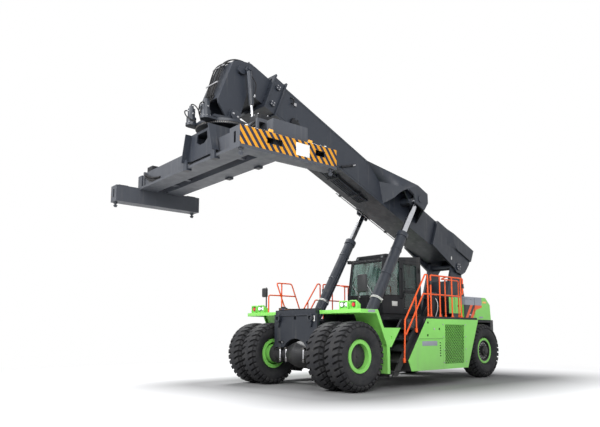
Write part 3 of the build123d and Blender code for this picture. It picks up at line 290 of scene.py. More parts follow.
def glass(name, tint, painted_reflection=(0.24, 0.32, 0.31), coat=0.6, shine=0.5):
    """Tinted sheet glass with a painted reflection of a bright yard in pale upright streaks, less clear where the
    reflection lies.
    """
    material, tree, shader, place = new_finish(name, index=1.45, shine=shine, coat=coat)
    streaks = noise(tree, place, 2.6, 3, (1, 3.2, 0.5))
    # painted reflection: pale streaks blended into the colour and taken out of the transmission
    reflection_share = ramped(tree, streaks, 0.42, 0.66, 0.08, 0.62)
    feed(tree, shader.inputs["Base Color"], blended(tree, reflection_share, tint, painted_reflection))
    feed(tree, shader.inputs["Transmission Weight"], minus(tree, 1.0, reflection_share))
    feed(tree, shader.inputs["Roughness"], ramped(tree, streaks, 0.3, 0.8, 0.02, 0.12))
    return material


def lamp_lens(name, colour, glow):
    """A ribbed lamp lens."""
    material, tree, shader, place = new_finish(name, roughness=0.12, coat=0.8, glow=glow)
    shader.inputs["Emission Color"].default_value = (*colour, 1)
    ribs = waves(tree, place, 40)
    dressed(tree, shader, blended(tree, ribs, colour, scaled(colour, 0.75)), None, ribs, 0.3, 0.002)
    return material


def cloth(name, colour):
    """Woven seat fabric."""
    material, tree, shader, place = new_finish(name, sheen=0.3)
    weave = times(tree, waves(tree, place, 160, "X"), waves(tree, place, 160, "Z"))
    dressed(tree, shader, blended(tree, weave, scaled(colour, 0.6), colour),
            ramped(tree, noise(tree, place, 8), 0.3, 0.7, 0.8, 0.95), weave, 0.4, 0.002)
    return material


LIME = (0.25, 0.70, 0.125)
RIM_LIME = scaled(LIME, 0.95)
SLATE = (0.023, 0.028, 0.039)
BLACK = (0.009, 0.010, 0.013)
ORANGE = (0.86, 0.105, 0.012)
HOOD_GREY = (0.30, 0.32, 0.37)
# painted light: the spreader's slate paint made lighter to stand for sunlight falling on it
SPREADER_SLATE_PAINTED_LIGHT = (0.058, 0.063, 0.075)
AMBER_YELLOW = (0.60, 0.265, 0.014)
NAVY = (0.010, 0.015, 0.038)


def slate_painted_shade_below(tree, _):
    """Boom grey, darker on the faces that look down: painted shade under the boom and its parts."""
    facing = axes_of(tree, tree.nodes.new("ShaderNodeTexCoord").outputs["Normal"])
    # painted shade: faces turned downwards are darkened to about a third of the slate colour
    return blended(tree, ramped(tree, facing[2], -0.8, -0.3, 1.0, 0.0), SLATE, scaled(SLATE, 0.35))


def hood_pattern(tree, axes):
    """Green hood with a grey band along its top, black cheeks and slanted orange stripes."""
    back = times(tree, axes[0], -1.0)
    slanted = minus(tree, back, times(tree, minus(tree, axes[2], 1.76), 0.72))
    cheek = times(tree, above(tree, size_of(tree, axes[1]), -hood_low.y - 0.004), below(tree, axes[2], 2.18))
    colour = blended(tree, times(tree, cheek, below(tree, slanted, 6.0)), LIME, BLACK)
    for low, high in ((5.66, 5.80), (5.93, 6.08)):
        colour = blended(tree, times(tree, cheek, between(tree, slanted, low, high)), colour, ORANGE)
    wing_foot = plus(tree, times(tree, minus(tree, back, 6.29), 0.24), 2.04)
    wing = times(tree, cheek, between(tree, back, 6.2, 6.63), above(tree, axes[2], wing_foot),
                 above(tree, slanted, 6.0))
    colour = blended(tree, wing, colour, ORANGE)
    front_rows = times(tree, below(tree, back, 6.62), above(tree, axes[2], 2.18))
    return blended(tree, front_rows, colour, HOOD_GREY)


def box_pattern(tree, axes):
    """Green outside; the sloping front and the inside are black, and the depths of holes and recess are black as
    painted shade.
    """
    outside = above(tree, size_of(tree, axes[1]), side_y - 0.012)
    # everything set back from the outer face is black: real black paint on the front and inside, painted shade in
    # the holes and recess
    return blended(tree, calc(tree, "MAXIMUM", outside, below(tree, axes[0], -4.3)), BLACK, LIME)


def fender_pattern(tree, axes):
    """Green with a black inner arch beside the frame."""
    inner = times(tree, below(tree, size_of(tree, axes[1]), 1.32), below(tree, axes[2], 1.782))
    return blended(tree, inner, LIME, BLACK)


def filter_pattern(tree, axes):
    """Green boxes with a black foot and front."""
    return blended(tree, times(tree, above(tree, axes[2], 1.91), below(tree, axes[0], filter_high.x - 0.006)),
                   BLACK, LIME)


def end_beam_pattern(out):
    """Slate end beam, lightened as painted sunlight, with slanted warning stripes on its outer face."""
    def pattern(tree, axes):
        across = minus(tree, times(tree, axes[1], cos(spreader_yaw)),
                       times(tree, minus(tree, axes[0], yoke_pin.x), sin(spreader_yaw)))
        along = minus(tree, times(tree, axes[0], out), times(tree, axes[2], 0.75))
        outer_face = above(tree, times(tree, across, out), 3.027 + out * side_shift)
        bars = above(tree, calc(tree, "FRACT", times(tree, along, 6.2)), 0.5)
        return blended(tree, times(tree, outer_face, between(tree, axes[2], 4.79, 5.152)), SPREADER_SLATE_PAINTED_LIGHT,
                       blended(tree, bars, NAVY, AMBER_YELLOW))
    return pattern


def steer_rim_pattern(tree, axes):
    """Black steered wheel with a green flange."""
    squared = squares(tree, minus(tree, axes[0], steer_x), minus(tree, axes[2], tyre_radius))
    return blended(tree, above(tree, squared, 0.315 ** 2), BLACK, RIM_LIME)


FINISH = {
    "lime": paint("lime_paint", LIME, 0.38, 0.2, 0.1, 0.4),
    "guard_lime": paint("guard_paint", scaled(LIME, 0.8), 0.45, 0.2, 0.0, 0.3),
    "fender": paint("fender_paint", fender_pattern, 0.38, 0.2, 0.1, 0.4),
    "box": paint("side_box_paint", box_pattern, 0.38, 0.2, 0.1, 0.4),
    # slate with painted shade on the faces that look down
    "slate": paint("slate_paint", slate_painted_shade_below, 0.44, 0.1, 0.0, 0.42),
    "black": paint("black_chassis_paint", BLACK, 0.5, 0.12, 0.0, 0.3),
    "orange": paint("orange_rail_paint", ORANGE, 0.42, 0.05, 0.1, 0.4),
    "rim_lime": paint("rim_paint", RIM_LIME, 0.42, 0.15, 0.0, 0.4),
    "hood": paint("hood_paint", hood_pattern, 0.36, 0.1, 0.1, 0.4),
    "filter": paint("filter_box_paint", filter_pattern, 0.38, 0.1, 0.1, 0.4),
    "left_beam": paint("left_end_beam_paint", end_beam_pattern(1), 0.44, 0.0, 0.0, 0.35),
    "right_beam": paint("right_end_beam_paint", end_beam_pattern(-1), 0.44, 0.0, 0.0, 0.35),
    "grey_plate": paint("grey_plate_paint", HOOD_GREY, 0.45, 0.0, 0.0),
    "pale_plate": paint("pale_plate_paint", (0.75, 0.75, 0.72), 0.45, 0.0, 0.0),
    # painted shadow: slate darkened to stand for the shadow of the load on the front bulkhead
    "shaded_front_slate": paint("front_plate_painted_shade", scaled(SLATE, 0.72), 0.44, 0.1, 0.0, 0.38),
    # painted light: lighter slate for the sunlit spreader frame, end beams, lock covers and side pipes
    "spreader": paint("spreader_paint_with_painted_light", SPREADER_SLATE_PAINTED_LIGHT, 0.46, 0.25, 0.0, 0.42),
    "steer_rim": paint("steer_rim_paint", steer_rim_pattern, 0.42, 0.15, 0.0, 0.4),
    "tyre": rubber("tyre_rubber", (0.019, 0.0195, 0.0225), 0.05),
    # painted shade: near-black rubber for the floors of the tread grooves
    "groove": rubber("groove_painted_shade_rubber", (0.006, 0.006, 0.007), 0.0),
    "hose": rubber("hose_rubber", (0.014, 0.014, 0.016), 0.05),
    "copper_hose": rubber("brown_hose", (0.2, 0.09, 0.04), 0.1),
    "blue_hose": rubber("blue_hose", (0.02, 0.08, 0.3), 0.0),
    "chrome": metal("chromed_rod", (0.56, 0.57, 0.60), 0.16, (0.2, 0.2, 0.2)),
    "steel": metal("zinc_plated_steel", (0.5, 0.5, 0.52), 0.35),
    "dark_steel": metal("oiled_steel", (0.12, 0.115, 0.11), 0.42),
    "mirror": metal("mirror_glass", (0.9, 0.92, 0.95), 0.05),
    "glass": glass("green_tinted_glass", (0.27, 0.42, 0.37)),
    "door_glass": glass("dark_door_glass", (0.05, 0.09, 0.08), (0.022, 0.042, 0.042), 0.0, 0.25),
    "plastic": plastic("black_plastic", (0.012, 0.013, 0.015)),
    "grey_plastic": plastic("grey_plastic", (0.15, 0.16, 0.17)),
    "fabric": cloth("seat_fabric", (0.045, 0.05, 0.06)),
    "amber_patch": lamp_lens("amber_lens", (0.95, 0.42, 0.03), 0.1),
    "white_lens": lamp_lens("white_lens", (0.9, 0.92, 0.95), 0.5),
    "red_lens": lamp_lens("red_lens", (0.65, 0.02, 0.015), 0.15),
}

NODE_FINISH = {
    "main_frame": "black", "front_bulkhead": "shaded_front_slate", "deck": "black", "drive_axle": "black",
    "steer_axle": "black", "engine": "black", "counterweight": "black", "rear_hood": "hood",
    "filter_boxes": "filter", "boom_tower": "slate", "cab_shell": "black", "cab_glass": "glass",
    "driver_seat": "fabric", "cab_controls": "plastic", "outer_boom": "slate", "inner_boom": "slate",
    "yoke": "slate", "damper_barrels": "slate", "damper_rods": "chrome", "rotator_carriage": "slate",
    "spreader_frame": "spreader",
}
SIDE_NODE_FINISH = {
    "fender": "fender", "side_box": "box", "stairs": "black", "deck_rails": "orange", "outer_drive_tyre": "tyre",
    "inner_drive_tyre": "tyre", "drive_wheel": "rim_lime", "steer_tyre": "tyre", "steer_wheel": "steer_rim",
    "steer_knuckle": "black", "cab_door": "black", "cab_door_glass": "door_glass", "lift_barrel": "slate",
    "lift_rod": "chrome", "end_beam": "{}_beam",
}


def paint_nodes():
    """Give every carried-over solid its finish."""
    finish_of = dict(NODE_FINISH)
    for side in SIDES:
        finish_of.update({f"{side}_{name}": finish.format(side) for name, finish in SIDE_NODE_FINISH.items()})
    for name, node in frame["nodes"].items():
        node.data.materials.clear()
        node.data.materials.append(FINISH[finish_of[name]])


# ======================================================================== modelling helpers
SHARP_EDGE = radians(40)
SMOOTH_EDGE = radians(38)


def clear_selection():
    """Back to object mode with nothing selected."""
    if bpy.context.object and bpy.context.object.mode != "OBJECT":
        bpy.ops.object.mode_set(mode="OBJECT")
    bpy.ops.object.select_all(action="DESELECT")


def chosen(piece):
    """Make one piece the selected and active one."""
    clear_selection()
    piece.select_set(True)
    bpy.context.view_layer.objects.active = piece


def apply_all(piece):
    """Put the piece's place into its mesh and apply its modifiers."""
    chosen(piece)
    bpy.ops.object.transform_apply(location=True, rotation=True, scale=True)
    for modifier in list(piece.modifiers):
        bpy.ops.object.modifier_apply(modifier=modifier.name)


def rounded(piece, width, segments=2):
    """Round the sharp edges by a bevel."""
    bevel = piece.modifiers.new("edges", "BEVEL")
    bevel.width = width
    bevel.segments = segments
    bevel.limit_method = "ANGLE"
    bevel.angle_limit = SHARP_EDGE
    apply_all(piece)
    return piece


def block(low, high, edge=0.004):
    """A block with rounded edges between two corners."""
    clear_selection()
    middle = [(a + b) / 2 for a, b in zip(low, high)]
    size = [abs(b - a) for a, b in zip(low, high)]
    bpy.ops.mesh.primitive_cube_add(size=1, location=middle, scale=size)
    return rounded(bpy.context.object, min(edge, min(size) * 0.4))


def rod(start, end, radius, sides=24, edge=0.003, tip=None):
    """A round or six-sided bar between two points, with rounded ends, or a cone towards its end."""
    clear_selection()
    start, end = Vector(start), Vector(end)
    way = end - start
    bpy.ops.mesh.primitive_cone_add(vertices=sides, radius1=radius, radius2=radius if tip is None else tip,
                                    depth=way.length, location=(start + end) / 2,
                                    rotation=way.to_track_quat("Z", "Y").to_euler())
    return rounded(bpy.context.object, min(edge, way.length * 0.3, radius * 0.3))


def upright(x, y, z_start, z_end, radius, sides=24, edge=0.003, tip=None):
    """A rod that stands."""
    return rod((x, y, z_start), (x, y, z_end), radius, sides, edge, tip)


def sideways(x, z, y_start, y_end, radius, sides=24, edge=0.003):
    """A rod from right to left."""
    return rod((x, y_start, z), (x, y_end, z), radius, sides, edge)


def new_line(kind, knots, radius=0.0, resolution=3):
    """A curve with one line of a kind and a number of knots, and that line."""
    curve = bpy.data.curves.new("line", "CURVE")
    curve.dimensions = "3D"
    curve.bevel_depth = radius
    curve.bevel_resolution = resolution
    curve.use_fill_caps = radius > 0
    line = curve.splines.new(kind)
    (line.bezier_points if kind == "BEZIER" else line.points).add(knots - 1)
    return curve, line


def as_mesh(curve):
    """The mesh of a curve."""
    piece = bpy.data.objects.new("line", curve)
    bpy.context.scene.collection.objects.link(piece)
    chosen(piece)
    bpy.ops.object.convert(target="MESH")
    return bpy.context.object


def bent_tube(points, radius):
    """A tube along a smooth line through the points."""
    curve, line = new_line("NURBS", len(points), radius)
    for knot, point in zip(line.points, points):
        knot.co = (*point, 1)
    line.order_u = min(4, len(points))
    line.use_endpoint_u = True
    line.resolution_u = 6
    return as_mesh(curve)


def bent_corners(points, radius):
    """A pipe of straight runs with rounded corners."""
    points = [Vector(point) for point in points]
    knots = [points[0]]
    for before, corner, after in zip(points, points[1:], points[2:]):
        for run in (before - corner, after - corner):
            knots.append(corner + run.normalized() * min(3.2 * radius, run.length * 0.45))
    knots.append(points[-1])
    curve, line = new_line("BEZIER", len(knots), radius, 4)
    for knot, place in zip(line.bezier_points, knots):
        knot.co = place
        knot.handle_left_type = knot.handle_right_type = "VECTOR"
    for index, corner in enumerate(points[1:-1]):
        first, second = line.bezier_points[2 * index + 1], line.bezier_points[2 * index + 2]
        first.handle_right_type = second.handle_left_type = "FREE"
        first.handle_right = first.co.lerp(corner, 0.6)
        second.handle_left = second.co.lerp(corner, 0.6)
    line.resolution_u = 8
    return as_mesh(curve)


def torus(middle, axis, radius, thick, around=48, across=8):
    """A ring about an axis."""
    clear_selection()
    bpy.ops.mesh.primitive_torus_add(location=middle, rotation=Vector(axis).to_track_quat("Z", "Y").to_euler(),
                                     major_radius=radius, minor_radius=thick, major_segments=around,
                                     minor_segments=across)
    apply_all(bpy.context.object)
    return bpy.context.object


def joined(pieces):
    """Several meshes made one, with their places put into it."""
    pieces = pieces if isinstance(pieces, list) else [pieces]
    chosen(pieces[0])
    for piece in pieces[1:]:
        piece.select_set(True)
    if len(pieces) > 1:
        bpy.ops.object.join()
    apply_all(bpy.context.object)
    return bpy.context.object


def copied(piece, place=None):
    """A copy with its own mesh, moved to a place."""
    copy = piece.copy()
    copy.data = piece.data.copy()
    bpy.context.scene.collection.objects.link(copy)
    if place:
        copy.data.transform(place)
    return copy


def laid(pieces, place):
    """Pieces made one and moved to a place."""
    piece = joined(pieces)
    piece.data.transform(place)
    return piece


def finished(name, finish_name, pieces, body="chassis"):
    """Join the pieces, smooth them, give them their finish and let them ride on a body, if one is named."""
    piece = joined(pieces)
    bpy.ops.object.shade_smooth_by_angle(angle=SMOOTH_EDGE)
    piece.name = name
    piece.data.name = name
    piece.data.materials.clear()
    piece.data.materials.append(FINISH[finish_name])
    if body:
        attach(piece, body)
    return piece


def both(name, finish_name, pieces, body="chassis", place=None):
    """Finish a piece on the left and its mirror image on the right; {} in a body's name stands for the side."""
    left = joined(pieces)
    right = copied(left, Matrix.Scale(-1, 4, (0, 1, 0)))
    right.data.flip_normals()
    for side, piece in zip(SIDES, (left, right)):
        if place:
            piece.data.transform(place)
        finished(f"{side}_{name}", finish_name.format(side), piece, body.format(side))


def hex_bolt(axis, size):
    """A washer with a six-sided head on it, standing out from the origin along the axis."""
    axis = Vector(axis).normalized()
    return joined([rod((0, 0, 0), axis * size * 0.2, size * 1.15, 20, 0.001),
                   rod(axis * size * 0.2, axis * size * 0.95, size * 0.9, 6, size * 0.1)])


def repeated(first, places):
    """Copies of a piece at several places, made one; the piece itself goes."""
    row = joined([copied(first, place) for place in places])
    bpy.data.objects.remove(first)
    return row


def bolts(places, axis, size):
    """Like bolts at several places."""
    return repeated(hex_bolt(axis, size), [Matrix.Translation(place) for place in places])


def turns(count):
    """Even turns round a circle."""
    return [2 * pi * k / count for k in range(count)]


def circle_of(x, y, z, radius, count):
    """Places round a circle that faces left or right."""
    return [(x + radius * cos(a), y, z + radius * sin(a)) for a in turns(count)]


def flat_circle_of(x, y, z, radius, count):
    """Places round a level circle."""
    return [(x + radius * cos(a), y + radius * sin(a), z) for a in turns(count)]


def select_faces(piece, wanted):
    """Enter edit mode with just the faces selected that pass a test."""
    bpy.ops.object.mode_set(mode="EDIT")
    bpy.ops.mesh.select_mode(type="FACE")
    bpy.ops.mesh.select_all(action="DESELECT")
    bpy.ops.object.mode_set(mode="OBJECT")
    for face in piece.data.polygons:
        face.select = wanted(face)
    bpy.ops.object.mode_set(mode="EDIT")


def woven(low, high, columns, rows, wire, standing=False):
    """A flat screen of diamond openings between two corners, level or facing left and right."""
    clear_selection()
    size = Vector(high) - Vector(low)
    bpy.ops.mesh.primitive_grid_add(x_subdivisions=columns, y_subdivisions=rows, size=1)
    screen = bpy.context.object
    screen.scale = (abs(size.x), abs(size.z if standing else size.y), 1)
    screen.rotation_euler = (pi / 2 if standing else 0, 0, 0)
    screen.location = (Vector(low) + Vector(high)) / 2
    apply_all(screen)
    bpy.ops.object.mode_set(mode="EDIT")
    bpy.ops.mesh.select_all(action="SELECT")
    bpy.ops.mesh.poke()
    bpy.ops.mesh.select_all(action="SELECT")
    bpy.ops.mesh.tris_convert_to_quads(face_threshold=pi, shape_threshold=pi)
    bpy.ops.object.mode_set(mode="OBJECT")
    wires = screen.modifiers.new("wires", "WIREFRAME")
    wires.thickness = wire
    wires.use_even_offset = False
    apply_all(screen)
    return screen


def tread_plate(low, high):
    """A thin plate with rows of raised bars, set alternately."""
    pitch = 0.075
    (low_x, low_y, z), (high_x, high_y) = low, high[:2]
    plate = block((low_x, low_y, z), (high_x, high_y, z + 0.004), 0.001)
    bar = block((-0.02, -0.004, 0.0), (0.02, 0.004, 0.003), 0.001)
    places = [Matrix.Translation((low_x + 0.05 + column * pitch, low_y + 0.05 + row * pitch, z + 0.004))
              @ Matrix.Rotation(radians(45 if (row + column) % 2 else -45), 4, "Z")
              for row in range(int((high_y - low_y - 0.05) / pitch))
              for column in range(int((high_x - low_x - 0.05) / pitch))]
    return joined([plate, repeated(bar, places)])


# ======================================================================== tyres and wheels
TYRE_SECTION = ((0.139, 0.383), (0.168, 0.40), (0.205, 0.44), (0.214, 0.446), (0.217, 0.462), (0.229, 0.478),
                (0.243, 0.53), (0.2485, 0.575), (0.2495, 0.60), (0.244, 0.635), (0.226, 0.662), (0.208, 0.692),
                (0.196, 0.716), (0.178, 0.737), (0.148, 0.747), (0.10, 0.752), (0.055, 0.755), (0.022, 0.756))
LUGS = 32
ROWS_PER_LUG = 6
GROOVE_ROWS = 2
LUG_HEIGHT = 0.043
LUG_SLANT = 0.62


def spun(section, rows):
    """A section of (sideways, radius) pairs spun about the Y axis through the origin."""
    curve, line = new_line("POLY", len(section))
    for knot, (y, r) in zip(line.points, section):
        knot.co = (0, y, r, 1)
    piece = as_mesh(curve)
    bpy.ops.object.mode_set(mode="EDIT")
    bpy.ops.mesh.select_all(action="SELECT")
    bpy.ops.mesh.spin(steps=rows, angle=2 * pi, center=(0, 0, 0), axis=(0, 1, 0))
    bpy.ops.mesh.select_all(action="SELECT")
    bpy.ops.mesh.remove_doubles(threshold=0.0004)
    bpy.ops.mesh.normals_make_consistent(inside=False)
    bpy.ops.object.mode_set(mode="OBJECT")
    return piece


def off_axis(point):
    """How far a point is from the Y axis."""
    return Vector((point.x, point.z)).length


def lugged_tyre():
    """One tyre about the Y axis: its section is spun, its crown slanted, and lugs raised on it."""
    rows = LUGS * ROWS_PER_LUG
    piece = spun([*TYRE_SECTION, *((-y, r) for y, r in reversed(TYRE_SECTION))], rows)

    def is_lug(face):
        middle = face.center
        turn = Vector((1, 0)).angle_signed(Vector((middle.x, middle.z))) % (2 * pi)
        row = int(turn * rows / (2 * pi)) + (ROWS_PER_LUG // 2 if middle.y < 0 else 0)
        rib = abs(middle.y) < 0.04 and off_axis(middle) > 0.73
        return rib or (off_axis(middle) > 0.655 and row % ROWS_PER_LUG >= GROOVE_ROWS)

    select_faces(piece, is_lug)
    bpy.ops.object.mode_set(mode="OBJECT")
    for vertex in piece.data.vertices:
        if off_axis(vertex.co) > 0.65:
            slant = -LUG_SLANT * max(-0.2, min(0.2, vertex.co.y))
            vertex.co = Matrix.Rotation(slant, 3, "Y") @ vertex.co
    bpy.ops.object.mode_set(mode="EDIT")
    bpy.ops.mesh.extrude_region_shrink_fatten(TRANSFORM_OT_shrink_fatten={"value": LUG_HEIGHT})
    bpy.ops.object.mode_set(mode="OBJECT")
    return rounded(piece, 0.005, 1)


def build_tyres():
    """Six lugged tyres in place of the plain ones, their groove floors darker as painted shade."""
    first = lugged_tyre()
    grooves = [0.67 < off_axis(face.center) < 0.762 and abs(face.center.y) < 0.222
               and face.normal.dot(face.center) > 0.3 for face in first.data.polygons]
    for side in SIDES:
        for node, body in ((f"{side}_outer_drive_tyre", f"{side}_drive_wheels"),
                           (f"{side}_inner_drive_tyre", f"{side}_drive_wheels"),
                           (f"{side}_steer_tyre", f"{side}_steer_wheel")):
            low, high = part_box(node)
            tyre = finished(f"lugged_{node}", "tyre", copied(first, Matrix.Translation((low + high) / 2)), body)
            # painted shade: the groove floors take the darker rubber
            tyre.data.materials.append(FINISH["groove"])
            for face, deep in zip(tyre.data.polygons, grooves):
                face.material_index = int(deep)
            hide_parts(node)
    bpy.data.objects.remove(first)


def build_wheel_trim():
    """Lock rings, wheel nuts, hub covers and valves on the wheels."""
    z, axis = tyre_radius, (0, 1, 0)
    drive_y = (drive_low.y + drive_high.y) / 2
    steer_y = (steer_low.y + steer_high.y) / 2
    hub_y = 1.875

    def lock_rings(x, y):
        return [torus((x, y - inward, z), axis, radius, thick, 64, 10)
                for inward, radius, thick in ((0, 0.37, 0.011), (0.012, 0.325, 0.008))]

    body = "{}_drive_wheels"
    both("drive_lock_rings", "rim_lime",
         lock_rings(0, drive_y + 0.165) + lock_rings(0, drive_y - 0.765), body)
    both("drive_wheel_nuts", "dark_steel",
         bolts(circle_of(0, drive_y - 0.01, z, 0.298, 20), axis, 0.014), body)
    both("drive_hub_cover", "black", [sideways(0, z, hub_y - 0.11, hub_y + 0.004, 0.272, 64, 0.014),
                                      sideways(0, z, hub_y, hub_y + 0.012, 0.185, 48, 0.006),
                                      sideways(0, z, hub_y, hub_y + 0.026, 0.045, 6, 0.006)], body)
    both("drive_cover_bolts", "dark_steel", bolts(circle_of(0, hub_y + 0.003, z, 0.235, 16), axis, 0.011), body)
    both("drive_valve", "steel", bent_tube([(0.30, drive_y - 0.02, z), (0.31, drive_y + 0.06, z),
                                            (0.315, drive_y + 0.13, z - 0.02)], 0.008), body)
    body = "{}_steer_wheel"
    both("steer_lock_rings", "rim_lime", lock_rings(steer_x, steer_y + 0.165), body)
    both("steer_hub_cover", "black", [sideways(steer_x, z, steer_y + 0.07, steer_y + 0.122, 0.284, 56, 0.006),
                                      sideways(steer_x, z, steer_y + 0.12, steer_y + 0.202, 0.15, 40, 0.012),
                                      sideways(steer_x, z, steer_y + 0.18, steer_y + 0.235, 0.10, 32, 0.012)], body)
    both("steer_wheel_nuts", "steel",
         bolts(circle_of(steer_x, steer_y + 0.12, z, 0.225, 16), axis, 0.017), body)
    both("steer_cover_bolts", "dark_steel",
         bolts(circle_of(steer_x, steer_y + 0.202, z, 0.125, 8), axis, 0.011), body)


# ======================================================================== front and sides
def build_bulkhead_trim():
    """Studs under the axle seats, bolts, a blank plate, and the valve bank with its hoses on top."""
    plate_x, stud_x, seat_z, top = 0.2, 0.213, bulkhead_low.z, bulkhead_high.z
    studs, ends = [], []
    for y in (-0.54, -0.31, 0.33, 0.56):
        studs.append(upright(stud_x, y, seat_z - 0.03, seat_z - 0.36, 0.027, 20))
        ends.append(upright(stud_x, y, seat_z - 0.30, seat_z - 0.275, 0.046, 6))
        ends.append(upright(stud_x, y, seat_z - 0.35, seat_z - 0.325, 0.044, 6))
        ends.append(block((plate_x - 0.02, y - 0.045, seat_z - 0.04), (stud_x + 0.04, y + 0.045, seat_z)))
    finished("axle_seat_studs", "steel", studs)
    finished("axle_seat_nuts", "dark_steel", ends)
    finished("bulkhead_slot_bolts", "steel",
             bolts([(plate_x - 0.068, y, 1.095) for y in (-0.55, 0.55)], (1, 0, 0), 0.03))
    finished("bulkhead_blank_plate", "pale_plate",
             block((plate_x, 0.655, 1.61), (plate_x + 0.005, 0.715, 1.74), 0.002))
    finished("towing_eye_bushes", "steel",
             [rod((0.19, y, 1.695), (0.225, y, 1.695), 0.042, 20) for y in (-0.6, 0.6)])
    finished("valve_bank", "black", [block((0.07, -0.66, top), (0.17, -0.42, top + 0.07), 0.008),
                                     block((0.08, -0.60, top + 0.07), (0.15, -0.55, top + 0.10), 0.006),
                                     block((0.08, -0.52, top + 0.07), (0.15, -0.47, top + 0.10), 0.006),
                                     block((0.0, -0.74, top - 0.01), (0.06, 0.74, top + 0.03), 0.006)])
    for index, (finish, drop) in enumerate((("copper_hose", 0.035), ("hose", 0.055), ("blue_hose", 0.025),
                                            ("copper_hose", 0.02), ("hose", 0.04))):
        y = -0.64 + 0.05 * index
        far_y = y + 0.05 * index
        line = [(0.16, y, top + 0.035), (0.195, y + 0.02, top + drop), (0.19, y + 0.16, top + 0.02 + drop / 4),
                (0.175, y + 0.36, top + 0.02), (0.13, far_y + 0.55, top + 0.018), (0.03, far_y + 0.62, top + 0.02),
                (-0.08, far_y + 0.62, top)]
        finished(f"valve_hose_{index + 1}", finish, bent_tube(line, 0.011))


def lamp_housing(front, y_low, y_high, top):
    """An open-fronted lamp housing with a sloping back."""
    shell = block((front - 0.15, y_low, top), (front, y_high, top + 0.21), 0.012)
    select_faces(shell, lambda face: face.normal.x > 0.9 and face.area > 0.01)
    bpy.ops.mesh.inset(thickness=0.014, depth=0)
    bpy.ops.mesh.inset(thickness=0.004, depth=-0.045)
    bpy.ops.object.mode_set(mode="OBJECT")
    for vertex in shell.data.vertices:
        if vertex.co.x < front - 0.1 and vertex.co.z > top + 0.1:
            vertex.co.z -= 0.08
    return shell


def build_lamps():
    """Lamp housings on both fenders, small patches on the front corners, and mirrors, the left one larger."""
    top = fender_high.z
    front = fender_high.x - 0.10
    both("corner_patch", "grey_plate", [block((-0.41, 2.0, top), (-0.17, 2.078, top + 0.003), 0.001),
                                        block((-0.41, 2.08, top - 0.07), (-0.17, 2.084, top - 0.012), 0.001)])
    # inner edge of the lamps; place of the mirror's post, its reach, its foot and top, half its width
    for side, inner, post_y, reach, low, high, wide in (("left", 1.315, 1.53, 0.17, 0.41, 0.84, 0.14),
                                                        ("right", 1.50, 1.95, 0.0, 0.46, 0.72, 0.10)):
        out = SIDES[side]
        finished(f"{side}_lamp_housings", "lime",
                 [lamp_housing(front, out * (inner + start), out * (inner + end), top)
                  for start, end in ((0.0, 0.28), (0.33, 0.55))])
        pair, z = [out * (inner + shift) for shift in (0.07, 0.21)], top + 0.12
        lamps = [rod((front - 0.05, y, z), (front - 0.008, y, z), 0.055, 32, 0.008, 0.046) for y in pair]
        rims = [torus((front - 0.03, y, z), (1, 0, 0), 0.057, 0.009, 40) for y in pair]
        y, z = out * (inner + 0.44), top + 0.11
        rims.append(torus((front - 0.03, y, z), (1, 0, 0), 0.053, 0.008, 40))
        finished(f"{side}_work_lamps", "white_lens", lamps)
        finished(f"{side}_marker_lamp", "red_lens",
                 rod((front - 0.05, y, z), (front - 0.006, y, z), 0.048, 32, 0.01))
        finished(f"{side}_lamp_rims", "plastic", rims)
        y = out * post_y
        mirror_y = y + out * reach
        finished(f"{side}_mirror_post", "plastic", [
            upright(-0.47, y, top, top + 0.74, 0.018, 20),
            block((-0.53, y - 0.06, top), (-0.41, y + 0.06, top + 0.012)),
            rod((-0.47, y - out * 0.03, top + 0.63), (-0.44, mirror_y, top + 0.63), 0.022, 16)])
        finished(f"{side}_mirror_case", "plastic",
                 block((-0.455, mirror_y - wide, top + low), (-0.375, mirror_y + wide, top + high), 0.06))
        finished(f"{side}_mirror_face", "mirror", block((-0.461, mirror_y - wide + 0.03, top + low + 0.03),
                                                        (-0.452, mirror_y + wide - 0.03, top + high - 0.03)))


def build_fender_trim():
    """Mudguard lips, ribs under the fenders, mud flaps and their bolts."""
    both("fender_lip", "lime", [bent_tube([(-0.93, 2.06, z) for z in (1.035, 0.95, 0.6, 0.39)], 0.012),
                                block((0.052, 0.76, 1.785), (0.086, 2.07, 1.872))])
    both("fender_ribs", "lime", [block((-0.5, y - 0.008, 1.80), (0.03, y + 0.008, 1.846), 0.003)
                                 for y in (1.15, 1.55, 1.9)])
    both("mud_flap", "hose", block((-0.97, 1.0, 0.30), (-0.945, 2.03, 0.72), 0.006))
    both("flap_bolts", "steel", bolts([(-0.97, y, 0.68) for y in (1.1, 1.35, 1.6, 1.85)], (-1, 0, 0), 0.012))


def box_front(z):
    """Where the side box's sloping front edge is at a height."""
    return -1.64 - (z - 0.66) * (2.44 - 1.64) / (1.69 - 0.66)


def build_side_boxes():
    """Woven guard in the air opening, its bolts, a latch, a seam and blank plates on both boxes."""
    low_x, high_x, low_z, high_z = -4.15, -3.2, 0.53, 1.55
    for side, out in SIDES.items():
        inside = out * (side_y - 0.012)
        finished(f"{side}_air_guard", "guard_lime",
                 woven((low_x, inside, low_z), (high_x, inside, high_z), 11, 12, 0.019, True))
    both("guard_bolts", "steel", bolts([(x, side_y + 0.004, z) for z in (0.57, 0.90, 1.23, 1.55)
                                        for x in (low_x - 0.045, high_x + 0.06)], (0, 1, 0), 0.016))
    both("box_plate", "grey_plate", block((-2.86, side_y, 1.005), (-2.21, side_y + 0.003, 1.125), 0.0012))
    both("box_seam", "black",
         block((-3.12, side_y - 0.002, 1.180), (box_front(1.186) - 0.03, side_y + 0.0015, 1.186), 0.0006))
    both("box_latch", "steel", sideways(-2.74, 1.43, side_y - 0.005, side_y + 0.012, 0.024, 24, 0.004))


